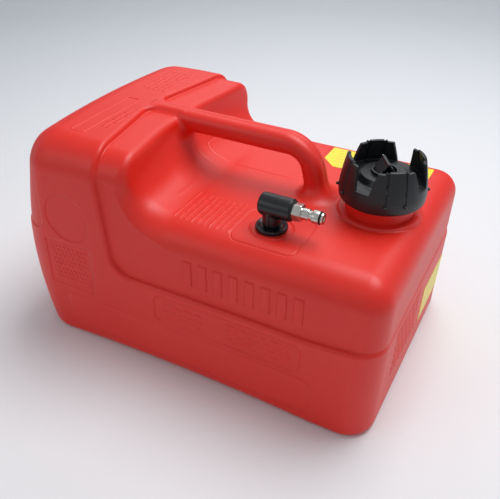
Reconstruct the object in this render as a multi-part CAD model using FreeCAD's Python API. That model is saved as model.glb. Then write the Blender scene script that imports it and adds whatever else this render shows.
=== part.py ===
import FreeCAD, Part

import math
import os

# Outboard fuel tank. Millimetres, +Z up, origin on the floor, midway between front and back
# and 175 mm in from the filler cap's end. +X runs from the tall end with the handle's root
# to that end. The front, where the outlet elbow sits, faces -Y.

# Tank body, outside
right_x = 175.0
left_foot_x = -193.0
left_belly_x = -215.0
left_belly_z = 93.0
left_belly_radius = 290.0
left_top_x = -181.0
left_top_radius = 44.0
tank_width = 244.0
tall_height = 218.0
deck_height = 162.0
shoulder_height = 96.0
shoulder_step = 4.5
end_step = 1.2
wall = 3.0
left_corner = 42.0
right_corner = 26.0
foot_radius = 11.0
tall_edge_radius = 29.0
deck_edge_radius = 22.0
tall_face_x = -92.0
tall_face_lean = 3.0
shoulder_curve = 22.0
deck_left_x = -135.0
overlap_length = 40.0

# Band that runs up and over the tall end, and the ramp at its foot
band_left_x = -112.0
band_right_x = -67.0
band_height = 213.0
band_lean = 5.0
band_corner = 13.0
notch_right_x = -84.0
notch_side_x = -95.0
notch_root_x = -110.0
notch_side_y = 112.0
notch_root_y = 12.0
ramp_left_x = -86.0
ramp_top_x = -66.0
ramp_right_x = -50.0
ramp_low_z = 142.0
ramp_height = 181.0
ramp_half_width = 106.0

# Handle
handle_width = 23.0
handle_depth = 20.0
handle_corner = 8.5
handle_start_x = -100.0
handle_z = 208.8
handle_bend_x = 56.0
handle_foot_x = 69.5
handle_foot_z = 155.0
handle_bend_radius = 20.0

# Recesses moulded into the tank's faces
recess_depth = 1.2
cutter_reach = 5.0
panel_left_x = -140.0
panel_right_x = 123.0
panel_low_z = 15.0
panel_high_z = 52.0
panel_slant = 9.0
panel_corner = 9.0
disc_x = -132.5
disc_z = 141.7
disc_radius = 24.7
end_recess_x = -163.5
end_recess_low_z = 121.0
end_recess_high_z = 194.0
end_recess_corner = 12.0

# Filler neck and cap, on one upright axis
neck_x = 126.0
neck_bore = 26.5
neck_radius = 31.0
thread_radius = 32.8
thread_low_z = 171.0
thread_high_z = 185.5
neck_ring_radius = 37.0
neck_ring_height = 2.6
neck_ring_chamfer = 1.4
neck_top_z = 188.5
cap_low_z = 177.5
cap_belt_z = 182.5
cap_belt_top_z = 190.0
cap_top_z = 216.0
cap_low_radius = 38.2
cap_radius = 40.0
cap_top_radius = 33.3
cap_wall = 3.2
cap_thread_radius = 33.2
cap_skirt_bore = 35.0
cap_skirt_chamfer = 3.0
cap_under_z = 191.0
cap_ledge_z = 194.7
boss_foot_radius = 24.0
boss_radius = 20.5
boss_z = 200.0
bowl_rim_radius = 12.0
bowl_rim_z = 203.0
bowl_radius = 9.9
bowl_floor_z = 197.5
crown_first_angle = -56.5
slot_top_width = 20.0
slot_foot_width = 12.4
slot_start_radius = 26.0
groove_angle = 13.0
groove_width = 1.5
groove_depth = 0.9
groove_low_z = 187.0
gasket_outer = 31.8
gasket_inner = 26.8
liner_radius = 24.0
liner_inner = 22.0
liner_low_z = 180.0
liner_floor = 1.6
liner_hole_radius = 2.2
liner_hole_circle = 14.0
liner_centre_hole = 1.0

# Vent screw, through the middle of the cap
vent_bore = 3.05
vent_stem_radius = 3.0
vent_boss_radius = 7.0
vent_boss_z = 187.0
vent_head_radius = 9.3
vent_seal_radius = 6.0
vent_seal_thickness = 1.2
vent_head_thickness = 2.0
vent_wing_top_z = 212.0
vent_wing_length = 20.0
vent_wing_angle = -57.0
vent_bar_half_width = 1.4
vent_bar_depth = 1.5
vent_wedge_wall = 2.4
vent_web_half = 2.5
vent_clip_radius = 5.0
vent_clip_top_z = 184.5
vent_clip_thickness = 1.2
vent_tip_radius = 2.2
vent_tip_z = 182.8

# Outlet, on one upright axis
outlet_x = 54.5
outlet_y = -74.0
flange_radius = 14.1
flange_low_z = 163.5
flange_high_z = 166.3
flange_edge = 0.4
dish_radius = 9.4
dish_rim_radius = 12.6
dish_z = 164.8
shank_radius = 8.85
shank_room = 0.05
shank_low_z = 148.0
barb_radius = 4.2
barb_low_z = 138.0
bushing_bore = 5.56
bushing_step_z = 152.0
suction_bore = 2.6
outlet_boss_wall = 4.5
witness_ring_radius = 19.3
witness_ring_width = 1.4
witness_ring_depth = 0.9

# Elbow and connector; the connector lies along +X at rest
barrel_z = 185.0
barrel_radius = 9.9
barrel_left_x = 43.6
barrel_right_x = 73.3
barrel_face_radius = 6.4
barrel_shoulder_radius = 8.6
barrel_shoulder = 0.9
barrel_curve = 3.2
barrel_edge = 0.6
collar_radius = 8.4
collar_low_z = 167.2
stem_radius = 5.5
stem_low_z = 152.6
stem_bore = 3.0
bead_radius = 5.85
bead_z = 155.4
bead_half_flat = 0.3
bead_half_foot = 0.6
bead_room = 0.1
ring_groove_radius = 4.2
ring_groove_low_z = 159.0
ring_groove_high_z = 160.6
ring_wire = 0.65
rib_half_width = 1.2
rib_reach = 1.0
rib_low_z = 168.7
rib_high_z = 181.0
washer_radius = 9.0
washer_thickness = 0.9
socket_radius = 6.1
hex_width = 14.3
hex_turn = 12.0
hex_chamfer = 0.9
hex_end_x = 82.0
nose_neck_radius = 5.1
nose_neck_end_x = 89.0
nose_groove_radius = 4.2
nose_groove_end_x = 91.0
nose_slope = 0.8
nose_radius = 5.8
nose_end_x = 97.6
nose_tip_groove_radius = 4.3
nose_tip_groove_end_x = 99.3
nose_tip_radius = 5.4
nose_tip_edge = 0.6
nose_tip_x = 100.9
nose_ring_radius = 4.95
nose_ring_wire = 0.62
plug_start_x = 63.6
plug_room = 0.05
plug_bore = 3.2
mouth_radius = 2.0
mouth_x = 96.4

# Check valve in the connector
poppet_head_radius = 3.0
poppet_head_start_x = 92.6
poppet_head_end_x = 96.4
poppet_ring_groove_radius = 2.3
poppet_ring_groove = 1.0
poppet_ring_radius = 2.72
poppet_ring_wire = 0.4
poppet_pin_radius = 1.3
poppet_pin_foot = 0.3
poppet_nose = 0.6
poppet_pin_end_x = 100.3
poppet_stem_radius = 1.1
poppet_stem_start_x = 77.2
seat_start_x = 79.0
seat_end_x = 80.4
seat_room = 0.03
seat_stem_room = 0.06
seat_hole_radius = 0.55
seat_hole_circle = 2.2
spring_radius = 2.25
spring_wire = 0.6
spring_turns = 6
spring_room = 0.05

# Pickup inside the tank
pickup_radius = 5.6
pickup_bore = 4.3
pickup_low_z = 16.0
pickup_high_z = 147.5
strainer_radius = 8.0
strainer_wall = 1.2
strainer_floor = 2.0
strainer_collar = 3.0
strainer_low_z = 8.0
strainer_high_z = 38.0
window_half_width = 4.0
window_low_z = 12.0
window_high_z = 33.0
screen_thickness = 0.4
screen_room = 0.05

# Labels
label_thickness = 0.3
top_label_left_x = 44.0
top_label_right_x = 150.0
top_label_front_y = 58.0
top_label_back_y = 100.0
top_label_clip = 14.0
end_label_front_y = 18.0
end_label_back_y = 100.0
end_label_low_z = 30.0
end_label_high_z = 84.0
label_patch_depth = 25.0

half_width = tank_width / 2
up = FreeCAD.Vector(0, 0, 1)
middle = FreeCAD.Vector(0, 0, 0)
neck = FreeCAD.Vector(neck_x, 0, 0)
outlet = FreeCAD.Vector(outlet_x, outlet_y, 0)
connector_line = FreeCAD.Vector(0, outlet_y, barrel_z)


def on_plan(a, b):
    return FreeCAD.Vector(a, b, 0)


def on_side(a, b):
    return FreeCAD.Vector(a, 0, b)


def on_end(a, b):
    return FreeCAD.Vector(0, a, b)


def outline(corners, place):
    """A closed wire through corners (a, b, radius), each rounded with an arc."""
    edges = []
    last = None
    first = None
    count = len(corners)
    for index in range(count):
        a, b, radius = corners[index]
        before = corners[index - 1]
        after = corners[(index + 1) % count]
        corner = place(a, b)
        back = (place(before[0], before[1]) - corner).normalize()
        ahead = (place(after[0], after[1]) - corner).normalize()
        start = corner
        end = corner
        arc = None
        if radius > 0:
            half_angle = back.getAngle(ahead) / 2
            reach = radius / math.tan(half_angle)
            start = corner + back * reach
            end = corner + ahead * reach
            inward = (back + ahead).normalize()
            crown = corner + inward * (radius / math.sin(half_angle) - radius)
            arc = Part.Arc(start, crown, end).toShape()
        if last is None:
            first = start
        else:
            edges.append(Part.LineSegment(last, start).toShape())
        if arc is not None:
            edges.append(arc)
        last = end
    edges.append(Part.LineSegment(last, first).toShape())
    return Part.Wire(edges)


def prism(corners, place, start, end):
    """The outline, carried square to its plane from start to end."""
    normal = place(1, 0).cross(place(0, 1))
    if place is on_side:
        normal = FreeCAD.Vector(0, 1, 0)
    face = Part.Face(outline(corners, place))
    face.translate(normal * start)
    return face.extrude(normal * (end - start))


def revolve(corners, centre, axis):
    """Corners (radius, height) turned about an axis through centre."""
    if axis == "x":
        points = [FreeCAD.Vector(along, 0, radius) for radius, along in corners]
        direction = FreeCAD.Vector(1, 0, 0)
    else:
        points = [FreeCAD.Vector(radius, 0, along) for radius, along in corners]
        direction = up
    face = Part.Face(Part.makePolygon(points + points[:1]))
    solid = face.revolve(middle, direction, 360)
    solid.translate(centre)
    return solid


def tube(outer, inner, low, high, centre, axis="z"):
    return revolve([(inner, low), (outer, low), (outer, high), (inner, high)], centre, axis)


def rod(radius, low, high, centre, axis="z"):
    direction = FreeCAD.Vector(1, 0, 0) if axis == "x" else up
    return Part.makeCylinder(radius, high - low, centre + direction * low, direction)


def ring_seal(radius, wire, centre, axis="z"):
    """A rubber ring of round section about an axis."""
    direction = FreeCAD.Vector(1, 0, 0) if axis == "x" else up
    return Part.makeTorus(radius, wire, centre, direction)


def box(low, high):
    size = [high[i] - low[i] for i in range(3)]
    return Part.makeBox(size[0], size[1], size[2], FreeCAD.Vector(*low))


def one_solid(shape):
    """The single solid that a boolean leaves, with split faces joined up again."""
    clean = shape.removeSplitter()
    if len(clean.Solids) == 1:
        return clean.Solids[0]
    return clean


def end_profile(y, high, radius):
    """A bar along X that rounds the upper edges of what it cuts."""
    corners = [(-y, 0, 0), (y, 0, 0), (y, high, radius), (-y, high, radius)]
    return prism(corners, on_end, -right_x, right_x + cutter_reach)


def soften(shape, radius, chosen):
    """Rounds the edges whose bounding boxes chosen picks."""
    return shape.makeFillet(radius, [edge for edge in shape.Edges if chosen(edge.BoundBox)])


def top_notches(skin):
    """Where the tall end's top steps down to the band, on both sides of the handle's root."""
    low = band_height - skin
    root_x = notch_root_x - skin
    notches = []
    for side in (-1, 1):
        corners = [
            (notch_right_x, side * (half_width + cutter_reach), 0),
            (notch_side_x - skin, side * notch_side_y, 0),
            (root_x, side * (notch_root_y - skin), notch_root_y),
            (notch_right_x, side * (notch_root_y - skin), 0),
        ]
        notches.append(prism(corners, on_plan, low, tall_height + cutter_reach))
    return notches


def layer_prism(skin, top_radius):
    """The outer layer before its edges are rounded, all but the one along the tall end's top."""
    low = skin
    high = tall_height - skin
    return prism(
        [
            (left_foot_x + skin, low, 0),
            (right_x - skin, low, 0),
            (right_x - skin, shoulder_height - skin, 0),
            (tall_face_x + tall_face_lean - skin, shoulder_height - skin, shoulder_curve + skin),
            (tall_face_x - skin, high, 0),
            (left_top_x + skin, high, top_radius),
            (left_belly_x + skin, left_belly_z, left_belly_radius - skin),
        ],
        on_side, skin - half_width, half_width - skin,
    )


def outer_layer(skin):
    """The lower tub and the tall left end with its belly, which stand proud of the deck's sides."""
    low = skin
    high = tall_height - skin
    shape = layer_prism(skin, 0)
    shape = soften(shape, left_corner - skin, lambda edge: (
        edge.YLength < 0.01 and edge.XMax < left_top_x + cutter_reach + skin))
    shape = soften(shape, right_corner - skin, lambda edge: (
        edge.YLength < 0.01 and edge.XMin > right_x - skin - 0.01))
    shape = soften(shape, foot_radius - skin, lambda edge: edge.ZMax < low + 0.01)
    shape = soften(shape, tall_edge_radius - skin, lambda edge: (
        edge.ZMin > high - 0.01 and edge.XMin < tall_face_x - cutter_reach))
    shape = shape.common(layer_prism(skin, left_top_radius - skin))
    return shape.cut(top_notches(skin))


def deck_block(skin):
    """The inset upper part under the low deck, with its large soft edge."""
    inset = shoulder_step + skin
    low = shoulder_height - overlap_length
    right = right_x - end_step - skin
    top = deck_height - skin
    y = half_width - inset
    edge = deck_edge_radius - skin
    side = prism(
        [(deck_left_x, low, 0), (right, low, 0), (right, top, edge), (deck_left_x, top, 0)],
        on_side, -half_width, half_width,
    )
    corner = right_corner - inset
    plan = prism(
        [(deck_left_x, -y, 0), (right, -y, corner), (right, y, corner), (deck_left_x, y, 0)],
        on_plan, 0, tall_height,
    )
    return side.common(plan).common(end_profile(y, top, edge))


def band_block(skin):
    """The inset band beside the tall end, which carries on over its top."""
    low = shoulder_height
    top = band_height - skin
    right = band_right_x - skin
    foot = right + 2 * band_lean
    y = half_width - shoulder_step - skin
    side = prism(
        [(band_left_x, low, 0), (foot, low, 0), (right, top, band_corner - skin), (band_left_x, top, 0)],
        on_side, -half_width, half_width,
    )
    corners = [(band_left_x, -y, 0), (foot, -y, band_corner), (foot, y, band_corner), (band_left_x, y, 0)]
    plan = prism(corners, on_plan, low, tall_height)
    return side.common(plan).common(end_profile(y, top, tall_edge_radius - skin))


def ramp(skin):
    """The sloping foot between the band's wall and the deck."""
    corners = [
        (ramp_left_x, ramp_low_z, 0),
        (ramp_right_x - skin, ramp_low_z, 0),
        (ramp_right_x - skin, deck_height - skin, 0),
        (ramp_top_x - skin, ramp_height - skin, 0),
        (ramp_left_x, ramp_height - skin, 0),
    ]
    return prism(corners, on_side, -ramp_half_width + skin, ramp_half_width - skin)


def handle(skin):
    """A rounded bar that leaves the tall end level, bends and goes down into the deck."""
    start = FreeCAD.Vector(handle_start_x, 0, handle_z)
    bend = FreeCAD.Vector(handle_bend_x, 0, handle_z)
    foot = FreeCAD.Vector(handle_foot_x, 0, handle_foot_z)
    back = (start - bend).normalize()
    ahead = (foot - bend).normalize()
    half_angle = back.getAngle(ahead) / 2
    reach = handle_bend_radius / math.tan(half_angle)
    inward = (back + ahead).normalize()
    crown = bend + inward * (handle_bend_radius / math.sin(half_angle) - handle_bend_radius)
    arc_start = bend + back * reach
    arc_end = bend + ahead * reach
    path = Part.Wire([
        Part.LineSegment(start, arc_start).toShape(),
        Part.Arc(arc_start, crown, arc_end).toShape(),
        Part.LineSegment(arc_end, foot).toShape(),
    ])
    y = handle_width / 2 - skin
    z = handle_depth / 2 - skin
    radius = handle_corner - skin
    section = outline([(-y, -z, radius), (y, -z, radius), (y, z, radius), (-y, z, radius)], on_end)
    section.translate(start)
    return path.makePipeShell([section], True, False)


def tank_mass(skin):
    """The tank's whole outer form, moved inwards by skin."""
    shape = outer_layer(skin).fuse([deck_block(skin), band_block(skin), ramp(skin), handle(skin)])
    return shape.removeSplitter()


def side_panels():
    """The long recess low on the front and on the back."""
    corners = [
        (panel_left_x, panel_low_z, panel_corner),
        (panel_right_x, panel_low_z, panel_corner),
        (panel_right_x, panel_high_z, panel_corner),
        (panel_left_x + panel_slant, panel_high_z, panel_corner),
    ]
    front = prism(corners, on_side, -half_width - cutter_reach, -half_width + recess_depth)
    back = prism(corners, on_side, half_width - recess_depth, half_width + cutter_reach)
    return [front, back]


def front_disc():
    """The round recess high on the tall end's front."""
    start = FreeCAD.Vector(disc_x, -half_width - cutter_reach, disc_z)
    return Part.makeCylinder(disc_radius, cutter_reach + recess_depth, start, FreeCAD.Vector(0, 1, 0))


def end_recess():
    """The shallow hollow that runs round the tall end's left face and both its corners."""
    window = prism(
        [
            (left_belly_x - cutter_reach, end_recess_low_z, 0),
            (end_recess_x, end_recess_low_z, end_recess_corner),
            (end_recess_x, end_recess_high_z, end_recess_corner),
            (left_belly_x - cutter_reach, end_recess_high_z, 0),
        ],
        on_side, -half_width - cutter_reach, half_width + cutter_reach,
    )
    return window.cut(outer_layer(recess_depth))


def tank_body():
    """The hollow moulding: its walls, the threaded neck and the boss round the outlet."""
    ceiling = deck_height - wall
    ring_low = ceiling - wall
    ring_top = deck_height + neck_ring_height
    ring = revolve(
        [
            (neck_bore, ring_low),
            (neck_ring_radius, ring_low),
            (neck_ring_radius, deck_height),
            (neck_ring_radius - neck_ring_chamfer, ring_top),
            (neck_bore, ring_top),
        ],
        neck, "z",
    )
    solid = tank_mass(0)
    solid = solid.fuse([ring, rod(neck_radius, deck_height, neck_top_z, neck)])
    solid = solid.fuse(rod(thread_radius, thread_low_z, thread_high_z, neck))
    solid = solid.cut(side_panels() + [front_disc(), end_recess()])
    cavity = tank_mass(wall).fuse(rod(neck_bore, ceiling - wall, neck_top_z + cutter_reach, neck))
    boss = rod(shank_radius + outlet_boss_wall, shank_low_z, ceiling, outlet)
    solid = solid.cut(cavity.cut(boss))
    outlet_hole = rod(
        shank_radius + shank_room, shank_low_z - cutter_reach, deck_height + cutter_reach, outlet)
    witness_ring = tube(
        witness_ring_radius, witness_ring_radius - witness_ring_width,
        deck_height - witness_ring_depth, deck_height + cutter_reach, outlet)
    return one_solid(solid.cut([outlet_hole, witness_ring]))


def crown_slots():
    """Four wedge-shaped gaps in the cap's crown, down to its ledge."""
    foot = slot_foot_width / 2
    top = slot_top_width / 2
    over = cap_top_z + cutter_reach
    slots = []
    for turn in range(4):
        slot = prism(
            [(-foot, cap_ledge_z, 0), (foot, cap_ledge_z, 0), (top, cap_top_z, 0),
             (top, over, 0), (-top, over, 0), (-top, cap_top_z, 0)],
            on_end, slot_start_radius, cap_radius + cutter_reach,
        )
        slot.rotate(middle, up, crown_first_angle + 45 + 90 * turn)
        slots.append(slot)
    return slots


def crown_grooves():
    """Two upright grooves in each crown wall, leaning with it."""
    lean = math.degrees(math.atan((cap_radius - cap_top_radius) / (cap_top_z - cap_belt_top_z)))
    half = groove_width / 2
    grooves = []
    for turn in range(4):
        for side in (-1, 1):
            groove = box(
                (cap_radius - groove_depth, -half, groove_low_z),
                (cap_radius + cutter_reach, half, cap_top_z + cutter_reach))
            groove.rotate(FreeCAD.Vector(cap_radius, 0, cap_belt_top_z), FreeCAD.Vector(0, 1, 0), -lean)
            groove.rotate(middle, up, crown_first_angle + 90 * turn + side * groove_angle)
            grooves.append(groove)
    return grooves


def filler_cap():
    """A screw cap with a four-part crown, a ledge, and a raised boss with a bowl in it."""
    slope = (cap_radius - cap_top_radius) / (cap_top_z - cap_belt_top_z)
    ledge_outer = cap_radius - (cap_ledge_z - cap_belt_top_z) * slope
    shape = revolve(
        [
            (cap_skirt_bore, cap_low_z),
            (cap_low_radius, cap_low_z),
            (cap_radius, cap_belt_z),
            (cap_radius, cap_belt_top_z),
            (cap_top_radius, cap_top_z),
            (cap_top_radius - cap_wall, cap_top_z),
            (ledge_outer - cap_wall, cap_ledge_z),
            (boss_foot_radius, cap_ledge_z),
            (boss_radius, boss_z),
            (bowl_rim_radius, boss_z),
            (bowl_rim_radius, bowl_rim_z),
            (bowl_radius, bowl_rim_z),
            (bowl_radius, bowl_floor_z),
            (vent_bore, bowl_floor_z),
            (vent_bore, vent_boss_z),
            (vent_boss_radius, vent_boss_z),
            (vent_boss_radius, cap_under_z),
            (cap_thread_radius, cap_under_z),
            (cap_thread_radius, cap_low_z + cap_skirt_chamfer),
        ],
        middle, "z",
    )
    shape = shape.cut(crown_slots() + crown_grooves())
    shape.translate(neck)
    return one_solid(shape)


def cap_liner():
    """A splash cup under the cap, with holes in its floor."""
    floor_top = liner_low_z + liner_floor
    cup = revolve(
        [
            (liner_inner, cap_under_z),
            (liner_radius, cap_under_z),
            (liner_radius, liner_low_z),
            (liner_centre_hole, liner_low_z),
            (liner_centre_hole, floor_top),
            (liner_inner, floor_top),
        ],
        middle, "z",
    )
    holes = []
    for turn in range(6):
        angle = math.radians(60 * turn)
        place = FreeCAD.Vector(liner_hole_circle * math.cos(angle), liner_hole_circle * math.sin(angle), 0)
        holes.append(rod(liner_hole_radius, liner_low_z - 1, floor_top + 1, place))
    cup = cup.cut(holes)
    cup.translate(neck)
    return one_solid(cup)


def vent_screw():
    """A stem with a round head and a hollow-ended wedge that the fingers turn."""
    head_low = bowl_floor_z + vent_seal_thickness
    head_top = head_low + vent_head_thickness
    half = vent_wing_length / 2
    base = vent_head_radius - 0.5
    bar_low = vent_wing_top_z - vent_bar_depth
    stem = revolve(
        [
            (0, vent_tip_z),
            (vent_tip_radius, vent_tip_z),
            (vent_tip_radius, vent_clip_top_z),
            (vent_stem_radius, vent_clip_top_z),
            (vent_stem_radius, head_low),
            (vent_head_radius, head_low),
            (vent_head_radius, head_top),
            (0, head_top),
        ],
        middle, "z",
    )
    wedge = prism(
        [(-base, head_top, 0), (base, head_top, 0),
         (vent_bar_half_width, bar_low, 0), (vent_bar_half_width, vent_wing_top_z, 0),
         (-vent_bar_half_width, vent_wing_top_z, 0), (-vent_bar_half_width, bar_low, 0)],
        on_end, -half, half,
    )
    # the wedge's ends lean in to the bowl's rim
    envelope = revolve(
        [(0, head_top - 1), (vent_head_radius, head_top - 1), (vent_head_radius, bowl_rim_z + 0.6),
         (half, vent_wing_top_z - 1), (half, vent_wing_top_z), (0, vent_wing_top_z)],
        middle, "z",
    )
    foot = base - vent_wedge_wall
    peak = bar_low - 1.3
    pocket = [(-foot, head_top, 0), (foot, head_top, 0), (0.1, peak, 0), (-0.1, peak, 0)]
    pockets = [
        prism(pocket, on_end, -half - 1, -vent_web_half),
        prism(pocket, on_end, vent_web_half, half + 1),
    ]
    shape = stem.fuse(wedge.common(envelope).cut(pockets))
    shape.rotate(middle, up, vent_wing_angle)
    shape.translate(neck)
    return one_solid(shape)


def outlet_bushing():
    """A dished flange on a threaded shank, bored for the elbow's stem, with a barb below."""
    bead_groove = bead_radius + bead_room
    return one_solid(revolve(
        [
            (bushing_bore, dish_z),
            (dish_radius, dish_z),
            (dish_rim_radius, flange_high_z),
            (flange_radius, flange_high_z - flange_edge),
            (flange_radius, flange_low_z),
            (shank_radius, flange_low_z),
            (shank_radius, shank_low_z),
            (barb_radius, shank_low_z),
            (barb_radius, barb_low_z),
            (suction_bore, barb_low_z),
            (suction_bore, bushing_step_z),
            (bushing_bore, bushing_step_z),
            (bushing_bore, bead_z - 1.0),
            (bead_groove, bead_z - bead_half_foot),
            (bead_groove, bead_z + bead_half_foot),
            (bushing_bore, bead_z + 1.0),
        ],
        outlet, "z",
    ))


def elbow():
    """A level barrel on an upright stem that turns in the bushing."""
    barrel = revolve(
        [
            (0, barrel_left_x),
            (barrel_face_radius, barrel_left_x),
            (barrel_shoulder_radius, barrel_left_x + barrel_shoulder),
            (barrel_radius, barrel_left_x + barrel_curve),
            (barrel_radius, barrel_right_x - barrel_edge),
            (barrel_radius - barrel_edge, barrel_right_x),
            (0, barrel_right_x),
        ],
        connector_line, "x",
    )
    stem = revolve(
        [
            (0, stem_low_z),
            (stem_radius, stem_low_z),
            (stem_radius, bead_z - bead_half_foot),
            (bead_radius, bead_z - bead_half_flat),
            (bead_radius, bead_z + bead_half_flat),
            (stem_radius, bead_z + bead_half_foot),
            (stem_radius, ring_groove_low_z),
            (ring_groove_radius, ring_groove_low_z),
            (ring_groove_radius, ring_groove_high_z),
            (stem_radius, ring_groove_high_z),
            (stem_radius, collar_low_z),
            (collar_radius, collar_low_z),
            (collar_radius, barrel_z),
            (0, barrel_z),
        ],
        outlet, "z",
    )
    rib = box(
        (outlet_x - rib_half_width, outlet_y - collar_radius - rib_reach, rib_low_z),
        (outlet_x + rib_half_width, outlet_y, rib_high_z))
    shape = barrel.fuse([stem, rib])
    shape = shape.cut([
        rod(suction_bore, stem_low_z - 1, barrel_z, outlet),
        rod(stem_bore, outlet_x - 2, plug_start_x, connector_line, "x"),
        rod(socket_radius, plug_start_x - 1, barrel_right_x + 1, connector_line, "x"),
    ])
    return one_solid(shape)


def connector_plug():
    """The threaded hexagon and the grooved nose that a fuel hose clips on."""
    hex_start = barrel_right_x + washer_thickness
    corner = hex_width / math.sqrt(3)
    thread = socket_radius - plug_room
    points = []
    for turn in range(7):
        angle = math.radians(60 * turn + hex_turn)
        points.append(FreeCAD.Vector(
            hex_start, outlet_y + corner * math.sin(angle), barrel_z + corner * math.cos(angle)))
    hexagon = Part.Face(Part.makePolygon(points)).extrude(FreeCAD.Vector(hex_end_x - hex_start, 0, 0))
    chamfer = revolve(
        [
            (0, hex_start),
            (corner - hex_chamfer, hex_start),
            (corner, hex_start + hex_chamfer),
            (corner, hex_end_x - hex_chamfer),
            (corner - hex_chamfer, hex_end_x),
            (0, hex_end_x),
        ],
        connector_line, "x",
    )
    body = revolve(
        [
            (0, plug_start_x),
            (thread, plug_start_x),
            (thread, hex_start + 1),
            (nose_neck_radius, hex_start + 1),
            (nose_neck_radius, nose_neck_end_x - nose_slope),
            (nose_groove_radius, nose_neck_end_x),
            (nose_groove_radius, nose_groove_end_x),
            (nose_radius, nose_groove_end_x + nose_slope),
            (nose_radius, nose_end_x),
            (nose_tip_groove_radius, nose_end_x),
            (nose_tip_groove_radius, nose_tip_groove_end_x),
            (nose_tip_radius, nose_tip_groove_end_x),
            (nose_tip_radius - nose_tip_edge, nose_tip_x),
            (0, nose_tip_x),
        ],
        connector_line, "x",
    )
    shape = body.fuse(hexagon.common(chamfer))
    shape = shape.cut([
        rod(plug_bore, plug_start_x - 1, mouth_x, connector_line, "x"),
        rod(mouth_radius, mouth_x - 1, nose_tip_x + 1, connector_line, "x"),
    ])
    return one_solid(shape)


def check_poppet():
    """The valve's stem, its head with a ring groove, and the pin that the hose's end pushes."""
    groove_start = poppet_head_start_x + poppet_ring_groove
    groove_end = groove_start + poppet_ring_groove
    return one_solid(revolve(
        [
            (0, poppet_stem_start_x),
            (poppet_stem_radius, poppet_stem_start_x),
            (poppet_stem_radius, poppet_head_start_x),
            (poppet_head_radius, poppet_head_start_x),
            (poppet_head_radius, groove_start),
            (poppet_ring_groove_radius, groove_start),
            (poppet_ring_groove_radius, groove_end),
            (poppet_head_radius, groove_end),
            (poppet_head_radius, poppet_head_end_x - poppet_nose),
            (poppet_pin_radius + poppet_pin_foot, poppet_head_end_x),
            (poppet_pin_radius, poppet_pin_end_x),
            (0, poppet_pin_end_x),
        ],
        connector_line, "x",
    ))


def poppet_spring():
    """An open coil between its seat and the poppet's head, swept along quarter-turn arcs."""
    start = seat_end_x + spring_wire / 2 + spring_room
    end = poppet_head_start_x - spring_wire / 2 - spring_room
    quarters = 4 * spring_turns

    def point(share):
        angle = 2 * math.pi * spring_turns * share
        return FreeCAD.Vector(
            start + (end - start) * share,
            outlet_y + spring_radius * math.cos(angle),
            barrel_z + spring_radius * math.sin(angle))

    arcs = []
    for quarter in range(quarters):
        arc = Part.Arc(
            point(quarter / quarters), point((quarter + 0.5) / quarters), point((quarter + 1) / quarters))
        arcs.append(arc.toShape())
    path = Part.Wire(arcs)
    heading = path.Edges[0].tangentAt(path.Edges[0].FirstParameter)
    section = Part.Wire(Part.makeCircle(spring_wire / 2, point(0), heading))
    return path.makePipeShell([section], True, False)


def spring_seat():
    """A disc that guides the poppet's stem, with four holes for the fuel."""
    disc = tube(
        plug_bore - seat_room, poppet_stem_radius + seat_stem_room,
        seat_start_x, seat_end_x, connector_line, "x")
    holes = []
    for turn in range(4):
        angle = math.radians(90 * turn + 45)
        across = FreeCAD.Vector(0, seat_hole_circle * math.cos(angle), seat_hole_circle * math.sin(angle))
        holes.append(rod(seat_hole_radius, seat_start_x - 1, seat_end_x + 1, connector_line + across, "x"))
    return one_solid(disc.cut(holes))


def strainer_cage():
    """A closed cup with four windows and a collar that grips the pickup tube."""
    inner = strainer_radius - strainer_wall
    grip = pickup_radius + shank_room
    collar_low = strainer_high_z - strainer_collar
    floor_top = strainer_low_z + strainer_floor
    shape = revolve(
        [
            (0, strainer_low_z),
            (strainer_radius, strainer_low_z),
            (strainer_radius, strainer_high_z),
            (grip, strainer_high_z),
            (grip, collar_low),
            (inner, collar_low),
            (inner, floor_top),
            (0, floor_top),
        ],
        outlet, "z",
    )
    reach = strainer_radius + 1
    core = rod(inner - 0.1, 0, strainer_high_z, outlet)
    windows = []
    for turn in range(2):
        window = box((-reach, -window_half_width, window_low_z), (reach, window_half_width, window_high_z))
        window.rotate(middle, up, 90 * turn + 45)
        window.translate(outlet)
        windows.append(window.cut(core))
    return one_solid(shape.cut(windows))


def strainer_screen():
    bore = strainer_radius + screen_room
    low = strainer_low_z + strainer_floor
    return tube(bore + screen_thickness, bore, low, strainer_high_z - strainer_collar, outlet)


def top_label():
    """A thin sticker that follows the deck and its soft back edge."""
    skin = deck_block(-label_thickness).cut(deck_block(0))
    patch = prism(
        [
            (top_label_left_x + top_label_clip, top_label_front_y, 0),
            (top_label_right_x, top_label_front_y, 0),
            (top_label_right_x, top_label_back_y, 0),
            (top_label_left_x, top_label_back_y, 0),
            (top_label_left_x, top_label_front_y + top_label_clip, 0),
        ],
        on_plan, deck_height - label_patch_depth, deck_height + cutter_reach,
    )
    return one_solid(skin.common(patch))


def end_label():
    """A thin sticker low on the cap's end of the tank."""
    skin = outer_layer(-label_thickness).cut(outer_layer(0))
    patch = box(
        (right_x - label_patch_depth, end_label_front_y, end_label_low_z),
        (right_x + cutter_reach, end_label_back_y, end_label_high_z))
    return one_solid(skin.common(patch))


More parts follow.
